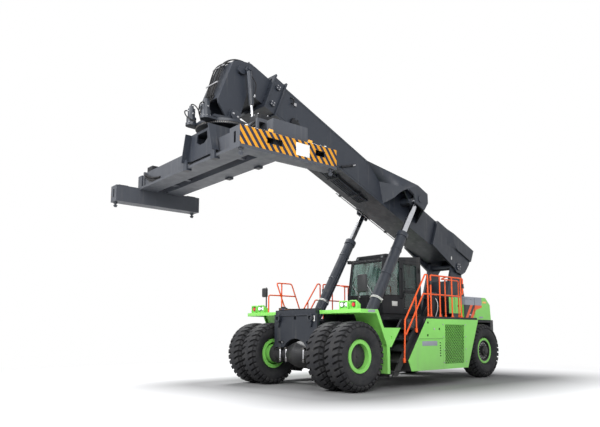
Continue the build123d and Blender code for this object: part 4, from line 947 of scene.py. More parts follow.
def build_stairs():
    """Open grip plates and noses on the steps, and a sill plate under the first."""
    for side in SIDES:
        low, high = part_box(f"{side}_stairs")
        finished(f"{side}_stair_sill", "black", block((-1.67, low.y, 0.392), (-0.985, high.y, 0.418)))
        low_y, high_y = low.y + 0.05, high.y - 0.05
        for step in range(5):
            z = 0.38 + step * 0.268
            x = box_front(z - 0.04)
            finished(f"{side}_step_grip_{step + 1}", "black",
                     [woven((x + 0.005, low_y, z + 0.004), (x + 0.225, high_y, z + 0.004), 6, 15, 0.007),
                      block((x + 0.225, low_y, z - 0.036), (x + 0.25, high_y, z + 0.012), 0.005)])


def build_rail_trim():
    """Foot plates, couplings and the second frames of the hand rails, and the deck's grip plates."""
    y = side_y - 0.095
    feet = []
    for x in (-2.64, -2.77, -3.18, -3.75, -4.19):
        feet.append(upright(x, y, deck_z, deck_z + 0.012, 0.05))
        feet.append(upright(x, y, deck_z + 0.01, deck_z + 0.07, 0.03, 20, 0.006, 0.024))
    feet += [upright(x, y, z - 0.05, z + 0.05, 0.034, 20, 0.006) for x, z in ((-1.60, 0.66), (-2.12, 1.39))]
    both("rail_feet", "orange", feet)
    both("rail_couplings", "plastic", [upright(-2.77, y, 2.58, 2.68, 0.034, 20, 0.006),
                                       upright(-4.29, y, 2.58, 2.68, 0.034, 20, 0.006),
                                       upright(-4.29, y, 2.56, 2.60, 0.042, 20, 0.006)])
    gate_y, gate_top = y - 0.185, 2.78
    gate = [bent_corners([(-3.71, gate_y, deck_z), (-3.71, gate_y, gate_top), (-4.37, gate_y, gate_top),
                          (-4.37, gate_y, deck_z)], 0.01785),
            bent_corners([(-3.52, y, 2.83), (-3.52, gate_y, gate_top), (-3.70, gate_y, gate_top)], 0.0168)]
    gate += [upright(x, gate_y, deck_z, deck_z + 0.06, 0.03, 20, 0.004) for x in (-3.71, -4.37)]
    both("rail_gate", "orange", gate)
    for side, low_y, high_y in (("left", 0.67, 1.93), ("right", -1.93, -0.67)):
        finished(f"{side}_deck_tread", "black", tread_plate((-4.84, low_y, deck_z), (-2.47, high_y, deck_z)))


def build_walkway_rails():
    """Hand rails along the inner edge of the right fender; their tops are out of sight behind the load."""
    tube, y, foot, top = 0.019, -1.25, 1.86, 2.68
    rails = [bent_corners([(0.02, y, foot), (0.02, y, 2.34), (-0.95, y, 2.34)], tube),
             bent_corners([(-0.62, y, foot), (-0.26, y, top), (-0.80, y, top), (-1.16, y, foot)], tube),
             upright(-0.44, y, foot, top, tube, 20)]
    rails += [upright(x, y, foot, foot + 0.012, 0.045, 20) for x in (0.02, -0.62, -0.44, -1.16)]
    finished("right_walkway_rails", "orange", rails)


# ======================================================================== cab
def seal(corners, radius=0.011):
    """A rubber strip round a window."""
    return bent_corners([*corners, corners[0], corners[1]], radius)


def cushion(low, high, crown, channels):
    """A padded block: rounded, crowned, pulled in between its corners, with sewn channels side by side."""
    clear_selection()
    middle = (Vector(low) + Vector(high)) / 2
    size = Vector(high) - Vector(low)
    bpy.ops.mesh.primitive_cube_add(size=1)
    pad = bpy.context.object
    pad.scale = size
    pad.location = middle
    apply_all(pad)
    bpy.ops.object.mode_set(mode="EDIT")
    bpy.ops.mesh.select_all(action="SELECT")
    bpy.ops.mesh.subdivide(number_cuts=23)
    bpy.ops.object.mode_set(mode="OBJECT")
    thin = min(range(3), key=lambda k: size[k])
    wide = [k for k in range(3) if k != thin]
    for vertex in pad.data.vertices:
        share = [2 * (vertex.co[k] - middle[k]) / size[k] for k in range(3)]
        edge_fall = (1 - share[wide[0]] ** 6) * (1 - share[wide[1]] ** 6)
        swell = 1 - 0.32 * (1 - edge_fall) + crown * (1 - share[wide[0]] ** 2) * (1 - share[wide[1]] ** 2)
        if channels and share[thin] > 0:
            groove = abs(cos(pi * channels * (share[1] + 1) / 2))
            swell -= 0.16 * (1 - min(1.0, groove * 3.5)) * edge_fall
        vertex.co[thin] = middle[thin] + size[thin] / 2 * share[thin] * swell
        for k, other in (wide, reversed(wide)):
            pull = 1 - 0.03 * (1 - share[other] ** 2) - 0.05 * share[thin] ** 4
            vertex.co[k] = middle[k] + size[k] / 2 * share[k] * pull
    pad.modifiers.new("smooth", "SUBSURF").levels = 1
    apply_all(pad)
    return pad


def build_seat():
    """Seat cushion, back and headrest in fabric, on the seat's own place."""
    low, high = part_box("driver_seat")
    seat_top, back_front = low.z + 0.14, low.x + 0.15
    for name, corners, crown, channels in (
            ("seat_cushion", ((back_front, low.y + 0.01, low.z + 0.005),
                              (high.x, high.y - 0.01, seat_top)), 0.10, 4),
            ("seat_back", ((low.x + 0.01, low.y + 0.02, seat_top + 0.005),
                           (back_front - 0.01, high.y - 0.02, high.z - 0.19)), 0.12, 4),
            ("seat_headrest", ((low.x + 0.03, low.y + 0.12, high.z - 0.17),
                               (back_front - 0.02, high.y - 0.12, high.z)), 0.15, 0)):
        pad = finished(name, "fabric", cushion(*corners, crown, channels))
        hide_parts("driver_seat")
    finished("headrest_posts", "steel", [upright(low.x + 0.07, y, high.z - 0.21, high.z - 0.14, 0.008, 12)
                                         for y in (-0.06, 0.06)])


def build_windows():
    """Window rubbers, door handles, grab rails, blank plates and wipers."""
    half = cab_high.y - 0.033
    sill, head, screen_foot, screen_top = 2.36, 3.37, -2.415, -2.592
    rubbers = [seal([(screen_foot - 0.004, -0.545, sill + 0.01), (screen_foot - 0.004, 0.545, sill + 0.01),
                     (screen_top + 0.002, 0.545, head - 0.01),
                     (screen_top + 0.002, -0.545, head - 0.01)])]
    for y in (half + 0.004, -half - 0.004):
        rubbers.append(seal([(-2.56, y, 2.38), (-2.72, y, 3.33), (-3.24, y, 3.37), (-3.24, y, 2.38)]))
    finished("window_rubbers", "plastic", rubbers)
    y = half + 0.006
    both("door_rubbers", "plastic", [
        seal([(-3.45, y, low), (-3.45, y, high), (-4.04, y, high), (-4.04, y, low)], 0.008)
        for low, high in ((2.05, 2.52), (2.60, 3.29))], "{}_door")
    grip_y, foot_y = cab_high.y + 0.045, cab_high.y - 0.022
    both("door_handle", "plastic", [
        bent_corners([(-3.40, y, z) for y, z in (
            (foot_y, 2.48), (grip_y, 2.48), (grip_y, 2.78), (foot_y, 2.78))], 0.011),
        block((-3.46, foot_y, 2.34), (-3.38, cab_high.y + 0.012, 2.44), 0.006)], "{}_door")
    both("cab_plate", "pale_plate", block((-3.12, half, 2.08), (-2.88, half + 0.004, 2.21), 0.0015))
    both("cab_grab_rail", "black", bent_corners([(-3.29, half, 2.30), (-3.29, half + 0.06, 2.30),
                                                 (-3.29, half + 0.06, 3.15), (-3.29, half, 3.15)], 0.013))
    slope = (screen_top - screen_foot) / (head - sill)
    reach = -0.34
    arms, blades = [], []
    for y in (0.42, -0.12):
        def on_screen(dy, z, lift):
            return (screen_foot + slope * (z - sill) + lift, y + dy, z)
        arms.append(rod(on_screen(0, 2.33, 0.0), on_screen(0, 2.33, 0.05), 0.022, 16))
        arms.append(bent_tube([on_screen(0, 2.33, 0.045), on_screen(reach * 0.5, 2.52, 0.05),
                               on_screen(reach, 2.70, 0.034)], 0.008))
        blades.append(bent_tube([on_screen(reach - 0.12, 2.48, 0.02), on_screen(reach, 2.70, 0.026),
                                 on_screen(reach + 0.10, 2.95, 0.02)], 0.009))
    finished("wiper_arms", "steel", arms)
    finished("wiper_blades", "plastic", blades)


def build_cab_trim():
    """Roof unit and lamps, steering wheel and floor mat."""
    roof_z = cab_high.z
    top = roof_z - 0.015
    bars = [block((-3.22 + 0.09 * k, -0.50, top - 0.002), (-3.18 + 0.09 * k, 0.50, top + 0.005), 0.002)
            for k in range(5)]
    finished("roof_cooler", "black", [block((-3.28, -0.56, roof_z - 0.14), (-2.74, 0.56, top), 0.03), *bars])
    cases = [block((-2.75, y - 0.06, 3.415), (-2.67, y + 0.06, 3.49), 0.012) for y in (-0.46, 0.46)]
    cases += [block((-2.67, -0.72, 3.36), (-2.60, -0.62, 3.40), 0.006),
              block((-2.70, -0.80, 3.34), (-2.60, -0.70, 3.44), 0.012)]
    finished("roof_lamp_cases", "plastic", cases)
    finished("roof_lamps", "grey_plastic", [block((-2.673, y - 0.04, 3.43), (-2.666, y + 0.04, 3.47), 0.003)
                                            for y in (-0.46, 0.46)])
    middle = Vector((-2.98, 0, 2.66))
    tilt = Vector((-0.45, 0, 1)).normalized()
    wheel = [torus(middle, tilt, 0.19, 0.014, 48, 10), rod(middle - tilt * 0.14, middle - tilt * 0.04, 0.03),
             rod(middle - tilt * 0.05, middle + tilt * 0.015, 0.045, 24, 0.008)]
    wheel += [rod(middle, middle + Matrix.Rotation(turn, 3, tilt) @ Vector((0.171, 0, 0.077)), 0.011, 12)
              for turn in turns(3)]
    finished("steering_wheel", "plastic", wheel)
    finished("cab_floor_mat", "hose", block((-3.9, -0.5, 1.932), (-2.72, 0.5, 1.938), 0.002))


# ======================================================================== rear body
def build_rear_trim():
    """Air cleaners behind the cab, hood seams, latches, plates, louvres, tail lamps and tow clevis."""
    x, y = -4.57, 0.80
    both("air_cleaner", "black", [upright(x, y, 1.76, 2.36, 0.165, 40, 0.015),
                                  upright(x, y, 2.36, 2.47, 0.165, 40, 0.01, 0.09),
                                  torus((x, y, 1.92), (0, 0, 1), 0.166, 0.009),
                                  torus((x, y, 2.28), (0, 0, 1), 0.166, 0.009)])
    both("air_cleaner_cap", "plastic", [upright(x, y, 2.47, 2.52, 0.11, 32, 0.02),
                                        sideways(x, 2.0, y + 0.16, y + 0.19, 0.05, 20, 0.01)])
    both("air_duct", "hose", bent_tube([(x, y, 2.12), (x + 0.22, y - 0.02, 2.14), (x + 0.24, y - 0.1, 1.98),
                                        (x + 0.22, y - 0.16, 1.80)], 0.05))
    both("braided_hose", "steel", bent_tube([(x + 0.07, y + 0.145, 2.34), (x + 0.02, y + 0.24, 2.18),
                                             (x + 0.12, y + 0.25, 1.98), (x + 0.26, y + 0.24, 1.752)], 0.012))
    face = hood_high.y
    both("hood_marker", "amber_patch", block((-6.90, face - 0.03, 2.255), (-6.68, face + 0.006, 2.315)))
    both("hood_plate", "grey_plate", block((-6.67, face, 1.785), (-6.45, face + 0.003, 1.835), 0.001))
    both("hood_seams", "black", [block((x, face - 0.001, 1.78), (x + 0.01, face + 0.004, 2.40), 0.001)
                                 for x in (-6.205, -5.66)])
    both("hood_hinges", "hood", [rod((x, face + 0.008, 2.36), (x + 0.14, face + 0.008, 2.36), 0.012, 16)
                                 for x in (-6.1, -5.85)])
    both("hood_latch", "steel", block((-5.98, face, 1.86), (-5.88, face + 0.012, 1.90)))
    face = filter_high.y
    both("filter_box_latch", "black", [block((-5.115, face - 0.02, 1.93), (-5.105, face + 0.003, 2.37), 0.001),
                                       block((-5.32, face - 0.001, 2.10), (-5.26, face + 0.012, 2.16))])
    back = weight_low.x
    both("tail_lamp_case", "plastic", block((back - 0.035, 0.52, 1.50), (back + 0.01, 0.74, 1.64), 0.012))
    for side, low_y, high_y in zip(SIDES, (0.52, -0.74), (0.74, -0.52)):
        finished(f"{side}_tail_lamp", "red_lens",
                 block((back - 0.045, low_y + 0.012, 1.515), (back - 0.03, high_y - 0.09, 1.625), 0.005))
        finished(f"{side}_tail_turn_lamp", "amber_patch",
                 block((back - 0.045, high_y - 0.085, 1.515), (back - 0.03, high_y - 0.012, 1.625), 0.005))
    top = hood_high.z
    finished("hood_top_louvres", "black", [block((-6.05 + 0.11 * k, -0.42, top - 0.001),
                                                 (-6.0 + 0.11 * k, 0.42, top + 0.012)) for k in range(4)])
    hood_back = hood_low.x
    finished("hood_back_louvres", "black", [block((hood_back - 0.008, -0.75, z), (hood_back + 0.02, 0.75, z + 0.035))
                                            for z in (1.95, 2.02, 2.09, 2.16)])
    finished("tow_clevis", "steel", [block((back - 0.10, -0.12, 0.94), (back + 0.02, 0.12, 0.99), 0.01),
                                     block((back - 0.10, -0.12, 1.09), (back + 0.02, 0.12, 1.14), 0.01),
                                     upright(back - 0.055, 0, 0.90, 1.20, 0.025, 24, 0.006),
                                     torus((back - 0.055, 0, 1.23), (0, 1, 0), 0.035, 0.008, 32)])
    finished("weight_lifting_eyes", "black", [torus((-7.42, y, 1.77), (0, 1, 0), 0.055, 0.014, 32)
                                              for y in (-0.95, 0.95)])


def build_underside():
    """Propeller shaft, steering cylinder, brake hoses and brake bolts."""
    finished("propeller_shaft", "dark_steel", [rod((-0.42, 0, 0.83), (-3.45, 0, 1.10), 0.055, 32),
                                               rod((-0.36, 0, 0.825), (-0.50, 0, 0.837), 0.11, 32),
                                               rod((-3.38, 0, 1.093), (-3.52, 0, 1.105), 0.11, 32)])
    x, z = steer_x + 0.30, 0.80
    barrel = [sideways(x, z, -0.36, 0.36, 0.085, 32, 0.01)]
    for y in (-0.36, 0.36):
        barrel.append(sideways(x, z, y - 0.03, y + 0.03, 0.10, 32, 0.008))
        barrel.append(block((x - 0.12, y - 0.05, 0.72), (x + 0.01, y + 0.05, 0.88), 0.01))
    finished("steering_cylinder", "black", barrel)
    finished("steering_cylinder_rods", "chrome",
             [sideways(x, z, out * 0.38, out * 0.52, 0.04) for out in SIDES.values()])
    both("brake_hose", "hose", bent_tube([(0.2, 0.55, 0.97), (0.24, 0.66, 0.86), (0.22, 0.80, 0.98),
                                          (0.12, 0.90, 1.04)], 0.012))
    both("brake_bolts", "dark_steel", bolts(circle_of(0, 0.816, z, 0.213, 14), (0, -1, 0), 0.012))


# ======================================================================== cylinders and boom
def build_cylinder_trim():
    """Pale clamp rings, oil pipes, bands and gland bolts on the lift cylinders."""
    foot = Vector(joint_at["left_lift_barrel_tilt"])
    way = Vector((-0.538, 0, 0.843)).normalized()
    across = Vector((0, 1, 0)).cross(way).normalized()
    body = "{}_lift_barrel"
    clamp_at = foot + way * 1.30
    lug = clamp_at + Vector((0, 0.15, 0))
    both("barrel_clamp", "pale_plate", [torus(clamp_at, way, 0.152, 0.014),
                                        torus(clamp_at + way * 0.035, way, 0.152, 0.010),
                                        rod(lug, lug + Vector((0.02, 0.09, -0.01)), 0.018, 16)], body)
    pipes = []
    for shift in (-0.2, 0.2):
        apart = (Vector((0, -1, 0)) + across * shift).normalized()
        pipes.append(bent_tube([foot + way * d + apart * r for d, r in (
            (0.25, 0.150), (0.35, 0.172), (1.8, 0.172), (2.8, 0.172), (2.9, 0.155))], 0.014))
    both("barrel_pipes", "slate", pipes, body)
    both("barrel_bands", "slate",
         [torus(foot + way * d, way, 0.149, 0.008, 48, 6) for d in (0.62, 2.1, 2.95)], body)
    facing = way.to_track_quat("Z", "Y")
    gland = [foot + way * 3.53 + facing @ Vector(spot) for spot in flat_circle_of(0, 0, 0, 0.125, 12)]
    both("gland_bolts", "dark_steel", bolts(gland, way, 0.011), body)


def boom_tube(line, y, radius):
    """A tube along the boom, through places given along it and square to it."""
    return bent_tube([on_boom(s, n, y) for s, n in line], radius)


def build_boom_sides():
    """Wear pad screws, welded seams, a hook, a stay rod, a valve and pivot covers on the boom's sides."""
    body, face = "outer_boom", (0, 1, 0)
    around_bosses = [(s + 0.035 * a, n + 0.035 * b) for s, n in COLLAR_BOSSES for a in (-1, 1) for b in (-1, 1)]
    both("pad_screws", "steel", bolts([on_boom(s, n, collar_face_y) for s, n in around_bosses], face, 0.014), body)
    both("collar_bolts", "slate", bolts([on_boom(s, n, collar_face_y) for s in (8.30, 8.66)
                                         for n in (0.02, 0.30, 0.58, 0.88)], face, 0.009), body)
    y = boom_half_width + 0.001
    both("boom_welds", "slate", [boom_tube([(s, n) for s in (start, 6.5, 8.25)], y, 0.005)
                                 for start, n in ((4.9, 0.815), (4.2, 0.085))], body)
    both("boom_pipe_hook", "black", bent_tube([
        on_boom(8.02, 0.74, y - 0.01), on_boom(8.02, 0.74, y + 0.04), on_boom(7.92, 0.75, y + 0.05),
        on_boom(7.90, 0.66, y + 0.05), on_boom(7.98, 0.58, y + 0.05)], 0.018), body)
    corner = on_boom(7.80, 0.62, y)
    both("boom_fitting", "steel", block(corner, corner + Vector((0.08, 0.05, 0.08)), 0.008), body)
    stay_y = y + 0.03
    both("boom_stay", "black", [
        rod(on_boom(5.84, 0.09, stay_y), on_boom(5.47, 0.37, stay_y), 0.026, 20),
        rod(on_boom(5.82, 0.11, y - 0.01), on_boom(5.82, 0.11, stay_y + 0.03), 0.03, 20),
        rod(on_boom(5.50, 0.35, y - 0.01), on_boom(5.50, 0.35, stay_y + 0.03), 0.03, 20)], body)
    both("boom_stay_end", "steel", rod(on_boom(5.47, 0.37, stay_y), on_boom(5.38, 0.45, stay_y), 0.019, 20), body)
    both("boom_valve", "black", laid([
        block((-0.13, -0.04, -0.07), (0.13, 0.04, 0.07), 0.01), upright(-0.06, 0, 0.06, 0.13, 0.025, 16),
        upright(0.06, 0, 0.06, 0.11, 0.025, 16)], boom_place(7.68, 0.19, y + 0.03)), body)
    x, z = boom_pivot.x, boom_pivot.z
    both("pivot_cover", "slate", sideways(x, z, 0.546, 0.578, 0.12, 40, 0.006), body)
    both("pivot_cover_bolts", "steel", bolts(circle_of(x, 0.576, z, 0.09, 6), face, 0.014), body)
    both("pivot_plate", "pale_plate", laid(block((-0.022, -0.007, -0.05), (0.022, 0.007, 0.05), 0.003),
                                           Matrix.Translation(on_boom(0.44, 0.09, 0.549))), body)


def build_boom_pipes():
    """One pipe on clamps along the right side, pipes above and below the boom, and the collar's sensor."""
    body, pipe_y = "outer_boom", -boom_half_width - 0.085
    finished("low_pipe", "steel", rod(on_boom(2.0, 0.052, pipe_y), on_boom(4.9, 0.052, pipe_y), 0.014, 16), body)
    finished("low_pipe_clamps", "black", repeated(
        block((-0.03, -0.055, -0.02), (0.03, 0.055, 0.03), 0.005),
        [boom_place(s, 0.052, -boom_half_width - 0.05) for s in (2.55, 3.65, 4.74)]), body)
    feed_line = ((4.25, 0.05), (4.30, -0.02), (4.45, -0.015), (7.9, -0.015), (8.15, -0.005), (8.25, 0.04))
    finished("boom_feed_pipes", "slate",
             [boom_tube(feed_line, y, 0.019) for y in (-0.14, -0.07, 0.0, 0.07, 0.14)], body)
    finished("boom_pipe_brackets", "black", repeated(
        block((-0.03, -0.2, -0.04), (0.03, 0.2, 0.035), 0.006),
        [boom_place(s, 0.0) for s in (4.7, 5.6, 6.9, 7.8)]), body)
    finished("collar_sensor", "grey_plastic", laid([block((-0.05, -0.04, 0), (0.05, 0.04, 0.09), 0.01),
                                                    upright(0, 0, 0.08, 0.13, 0.022, 16)],
                                                   boom_place(8.56, 0.901, 0.30)), body)
    top_line = ((0.6, 0.885), (4.0, 0.885), (8.1, 0.885), (8.2, 0.865))
    finished("boom_top_pipes", "slate", [boom_tube(top_line, y, 0.014) for y in (-0.40, 0.40)], body)


def build_head_trim():
    """Pin covers, damper fittings with their hoses, hoses over the head and on to the yoke, and straps."""
    x, z, y = yoke_pin.x, yoke_pin.z, 0.471
    both("yoke_pin_cover", "slate", sideways(x, z, y, y + 0.016, 0.125, 40, 0.005), "inner_boom")
    both("yoke_cover_bolts", "steel", bolts([(x + 0.06, y + 0.014, z + 0.02), (x - 0.06, y + 0.014, z - 0.03)],
                                            (0, 1, 0), 0.022), "inner_boom")
    both("damper_pin_cover", "slate",
         sideways(damper_top.x, damper_top.z, 0.578, 0.60, 0.05, 32, 0.004), "inner_boom")
    at = damper_top + Vector((-0.098, 0, -0.995)).normalized() * 0.62 + Vector((-0.06, 0.52, 0))
    both("damper_fitting", "steel", [rod(at, at + Vector((-0.07, 0, 0)), 0.017, 6),
                                     rod(at + Vector((-0.06, 0, 0)), at + Vector((-0.06, 0, 0.06)), 0.014, 16)],
         "damper_barrels")
    both("damper_hose", "hose", bent_tube([at + Vector((-0.06, 0, 0.05)), at + Vector((-0.08, 0, 0.2)),
                                           at + Vector((-0.12, 0.01, 0.30)), at + Vector((-0.04, 0, 0.42)),
                                           damper_top + Vector((-0.03, 0.5, -0.06))], 0.012), "damper_barrels")
    for index in range(7):
        y = -0.18 + 0.06 * index
        lift = 0.03 + 0.022 * ((index * 3) % 4)
        line = [on_boom(8.92, 0.78, y), on_boom(9.05, 0.80 + lift, y), on_boom(9.30, 0.83 + lift, y),
                on_boom(9.55, 0.74 + lift, y), on_boom(9.74, 0.60 + lift, y), on_boom(9.80 + lift, 0.42, y),
                on_boom(9.79 + lift, 0.15, y), on_boom(9.78 + lift * 0.7, -0.2, y * 0.9),
                on_boom(9.77 + lift * 0.5, -0.45, y * 0.8)]
        finished(f"head_hose_{index + 1}", "hose", bent_tube(line, 0.016), "inner_boom")
    finished("head_hose_straps", "steel", [
        laid(block((-0.02, -0.23, -0.012), (0.02, 0.23, 0.012), 0.005), boom_place(s, n, 0, turn))
        for s, n, turn in ((9.30, 0.93, 0.0), (9.87, 0.38, 1.45), (9.86, -0.12, 1.55))], "inner_boom")
    for index, y in enumerate((-0.15, -0.05, 0.05, 0.15)):
        line = [on_boom(9.775, -0.42, y), (2.88, y, 6.56), (2.98 + 0.02 * index, y, 6.42), (3.02, y, 6.27),
                (2.97, y, 6.16), (2.95, y * 0.9, 6.09)]
        hose = finished(f"yoke_hose_{index + 1}", "hose", bent_tube(line, 0.015), None)
        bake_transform(hose)


def build_slew_trim():
    """The slew motors' hoses, ports and bolts, and the slew ring's bolts above and teeth below."""
    x, y, top, body = yoke_pin.x + 0.68, 0.3, 6.49, "yoke"
    lines = [[(x + 0.02, y, top - 0.02), (x + 0.03, y, top + 0.05), (x - 0.06, y * 0.9, top + 0.07),
              (x - 0.16, y * 0.7, top - 0.10), (x - 0.18, y * 0.55, 6.20), (x - 0.16, y * 0.5, 6.09)],
             [(x + 0.05, y + 0.03, top - 0.12), (x + 0.16, y + 0.04, top - 0.10), (x + 0.19, y + 0.02, 6.26),
              (x + 0.13, y - 0.12, 6.12), (x - 0.02, y - 0.17, 6.10)]]
    both("motor_hoses", "hose", [bent_tube(line, 0.014) for line in lines], body)
    both("motor_ports", "steel", [rod((x - 0.09, y, 6.36), (x + 0.10, y, 6.36), 0.022, 6),
                                  sideways(x, 6.30, y - 0.09, y + 0.09, 0.02, 6)], body)
    both("motor_bolts", "steel", bolts(flat_circle_of(x, y, 6.08, 0.118, 10), (0, 0, 1), 0.009), body)
    ring = 0.585
    places = [(yoke_pin.x + ring * cos(a), ring * sin(a), 6.08) for a in turns(40)
              if cos(a) < 0.75 and abs(abs(sin(a)) * ring - 0.52) > 0.05 or cos(a) > 0.75 and abs(sin(a)) < 0.1]
    finished("slew_ring_bolts", "steel", bolts(places, (0, 0, 1), 0.012), body)
    tooth = block((0.612, -0.012, 5.97), (0.640, 0.012, 6.008))
    middle = Matrix.Translation((yoke_pin.x, yoke_pin.y, 0))
    finished("slew_ring_teeth", "dark_steel",
             repeated(tooth, [middle @ Matrix.Rotation(a, 4, "Z") for a in turns(84)]), "carriage")


# ======================================================================== spreader
def build_spreader_trim():
    """Blank plates, window frames, locks and lamps on the end beams; valve boxes, hoses and pipes on the frame."""
    beam, face, low_z, high_z, wide = "{}_end_beam", 3.029, 4.92, 5.04, 0.012
    for side, out in SIDES.items():
        far = out * face
        finished(f"{side}_beam_plate", "pale_plate", laid(
            block((out * -0.12, far, 4.835), (out * -0.47, far + out * 0.004, 5.095), 0.0015), SPREADER_PLACE),
                 beam.format(side))
        frames = []
        for ends in ((0.23, 0.60), (-0.88, -0.63)):
            a, b = sorted(out * end for end in ends)
            for x1, z1, x2, z2 in ((a - wide, low_z - wide, b + wide, low_z),
                                   (a - wide, high_z, b + wide, high_z + wide),
                                   (a - wide, low_z, a, high_z), (b, low_z, b + wide, high_z)):
                frames.append(block((x1, far, z1), (x2, far + out * 0.006, z2), 0.002))
        finished(f"{side}_window_frames", f"{side}_beam", laid(frames, SPREADER_PLACE), beam.format(side))

    def fitted(name, finish, pieces, body="spreader_frame"):
        both(name, finish, pieces, body, SPREADER_PLACE)

    fitted("lock_covers", "spreader", [block((x - 0.13, 2.74, 5.155), (x + 0.13, 2.98, 5.185), 0.008)
                                       for x in (-1.0, 1.0)], beam)
    fitted("lock_indicators", "pale_plate", [
        bent_tube([(x, 2.86, 5.18), (x, 2.87, 5.23), (x, 2.91, 5.235), (x, 2.95, 5.19)], 0.014)
        for x in (-1.0, 1.0)], beam)
    fitted("lock_tie_rod", "steel", rod((-0.88, 2.95, 5.172), (0.88, 2.95, 5.172), 0.018, 20), beam)
    fitted("beam_lamps", "amber_patch", [block((x - 0.05, 3.0, 5.155), (x + 0.05, 3.028, 5.215), 0.006)
                                         for x in (-0.5, 0.5)], beam)
    fitted("valve_box", "black", block((0.16, 2.22, 5.545), (0.46, 2.52, 5.70), 0.012))
    fitted("valve_box_bolts", "steel", [upright(x, y, 5.70, 5.716, 0.014, 6) for x in (0.19, 0.43)
                                        for y in (2.25, 2.37, 2.49)])
    fitted("beam_hoses", "hose", [
        bent_tube([(x, 2.22, 5.60), (x, 2.12, 5.60), (x - 0.02, 2.0, 5.572), (x - 0.02, 1.75, 5.57),
                   (x - 0.02, 1.58, 5.56), (x - 0.02, 1.54, 5.54)], 0.015) for x in (0.24, 0.30, 0.38)])
    fitted("hose_clips", "steel", [block((0.19, y, 5.55), (0.40, y + 0.03, 5.592)) for y in (1.66, 1.92)])
    fitted("beam_side_pipes", "spreader", [
        bent_tube([(-0.515, 1.56, z), (-0.518, 2.0, z), (-0.515, 2.5, z)], 0.012) for z in (5.30, 5.35, 5.40)])
    fitted("beam_hose_loops", "hose", [
        bent_tube([(x, y, top - drop) for x, y, drop in (
            (0.505, 2.53, 0), (0.54, 2.47, 0.02), (0.55, 2.36, 0.08), (0.55, 2.16, 0.18), (0.545, 1.9, 0.25),
            (0.51, 1.64, 0.26))], 0.024) for top in (5.52, 5.45)])


# ======================================================================== studio
CAMERA_PLACE = Vector((9.935, 10.798, 1.321))
CAMERA_HEADING = radians(47.459)
CAMERA_RISE = radians(7.197)
CAMERA_LENS = 34.8
CAMERA_SHIFT = 0.0775
FLOOR_SIZE = 240


def seen_rays(tree):
    """One for rays that show the surroundings: straight, mirrored and through glass."""
    path = tree.nodes.new("ShaderNodeLightPath")
    mirrored = calc(tree, "MAXIMUM", path.outputs["Is Glossy Ray"], path.outputs["Is Transmission Ray"])
    return calc(tree, "MAXIMUM", path.outputs["Is Camera Ray"], mirrored)


def mixed(tree, share, first, second, output):
    """Send a mix of two shaders to an output."""
    either = tree.nodes.new("ShaderNodeMixShader")
    for socket, source in zip(either.inputs, (share, first.outputs[0], second.outputs[0])):
        tree.links.new(source, socket)
    tree.links.new(either.outputs[0], tree.nodes[output].inputs["Surface"])


def build_camera():
    """The camera, low in front on the machine's left."""
    camera = bpy.data.objects.new("camera", bpy.data.cameras.new("camera"))
    bpy.context.scene.collection.objects.link(camera)
    looking = Vector((-cos(CAMERA_HEADING) * cos(CAMERA_RISE), -sin(CAMERA_HEADING) * cos(CAMERA_RISE),
                      sin(CAMERA_RISE)))
    camera.location = CAMERA_PLACE
    camera.rotation_euler = looking.to_track_quat("-Z", "Y").to_euler()
    camera.data.lens = CAMERA_LENS
    camera.data.sensor_width = 36
    camera.data.shift_y = CAMERA_SHIFT
    camera.data.clip_end = 500
    bpy.context.scene.camera = camera
    bpy.context.scene.view_settings.view_transform = "Standard"


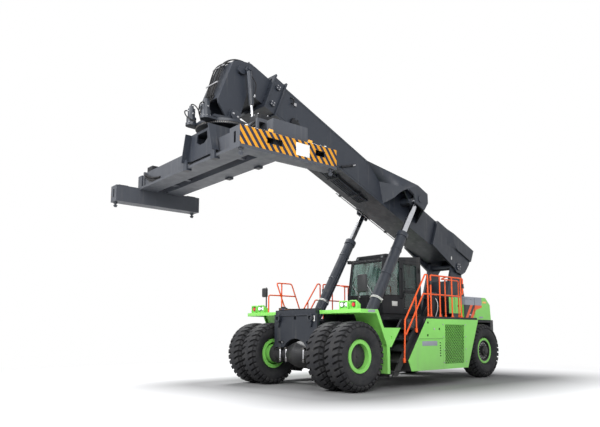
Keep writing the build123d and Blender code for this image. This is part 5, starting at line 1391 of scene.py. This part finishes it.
def build_floor():
    """A pale floor with a painted shadow round the machine, darkest near the wheels, that runs into the white
    surroundings further off.
    """
    clear_selection()
    bpy.ops.mesh.primitive_plane_add(size=FLOOR_SIZE, location=(0, 0, 0))
    floor = bpy.context.object
    floor.name = "studio_floor"
    material, tree, shader, place = new_finish("studio_floor", roughness=0.9, shine=0.1)
    axes = axes_of(tree, place)
    pale = blended(tree, ramped(tree, noise(tree, place, 0.4, 3), 0.3, 0.7, 0.0, 0.2), (0.86, 0.86, 0.87),
                   (0.82, 0.82, 0.83))
    # painted shadow: dark grey under the machine and within 0.9 m of its outline, turning pale by 4.2 m
    ahead = calc(tree, "MAXIMUM", minus(tree, size_of(tree, plus(tree, axes[0], 3.35)), 4.15), 0.0)
    aside = times(tree, calc(tree, "MAXIMUM", minus(tree, size_of(tree, axes[1]), 2.1), 0.0), 1.3)
    near = ramped(tree, calc(tree, "SQRT", squares(tree, ahead, aside)), 0.9, 4.2)
    feed(tree, shader.inputs["Base Color"], blended(tree, near, (0.27, 0.27, 0.273), pale))
    far = ramped(tree, calc(tree, "SQRT", squares(tree, plus(tree, axes[0], 2.0), axes[1])), 6.0, 13.0)
    light = tree.nodes.new("ShaderNodeEmission")
    light.inputs["Strength"].default_value = 1.0
    mixed(tree, times(tree, far, seen_rays(tree)), shader, light, "Material Output")
    floor.data.materials.append(material)


def build_lights():
    """Three soft lamps in a pale room that looks white."""
    for name, place, aim, size, power in (
            ("key_lamp", (10, 13, 10), (-1, 0, 3), 13, 2500),
            ("top_lamp", (-6, -7, 15), (-1, 1, 1), 9, 3000),
            ("front_lamp", (15, -2, 12), (0, 0, 4), 8, 2100)):
        lamp = bpy.data.objects.new(name, bpy.data.lights.new(name, "AREA"))
        bpy.context.scene.collection.objects.link(lamp)
        lamp.data.shape = "DISK"
        lamp.data.size = size
        lamp.data.energy = power
        lamp.location = place
        lamp.rotation_euler = (Vector(aim) - Vector(place)).to_track_quat("-Z", "Y").to_euler()
    world = bpy.data.worlds.new("pale_room")
    bpy.context.scene.world = world
    world.use_nodes = True
    tree = world.node_tree
    back = tree.nodes["Background"]
    back.inputs["Color"].default_value = (0.95, 0.97, 1.0, 1)
    back.inputs["Strength"].default_value = 0.42
    white = tree.nodes.new("ShaderNodeBackground")
    white.inputs["Color"].default_value = (1, 1, 1, 1)
    white.inputs["Strength"].default_value = 1.0
    mixed(tree, seen_rays(tree), back, white, "World Output")


for build in (paint_nodes, build_camera, build_floor, build_lights, build_tyres, build_wheel_trim,
              build_bulkhead_trim, build_lamps, build_fender_trim, build_side_boxes, build_stairs, build_rail_trim,
              build_walkway_rails, build_seat, build_windows, build_cab_trim, build_rear_trim, build_underside,
              build_cylinder_trim, build_boom_sides, build_boom_pipes, build_head_trim, build_slew_trim,
              build_spreader_trim):
    build()
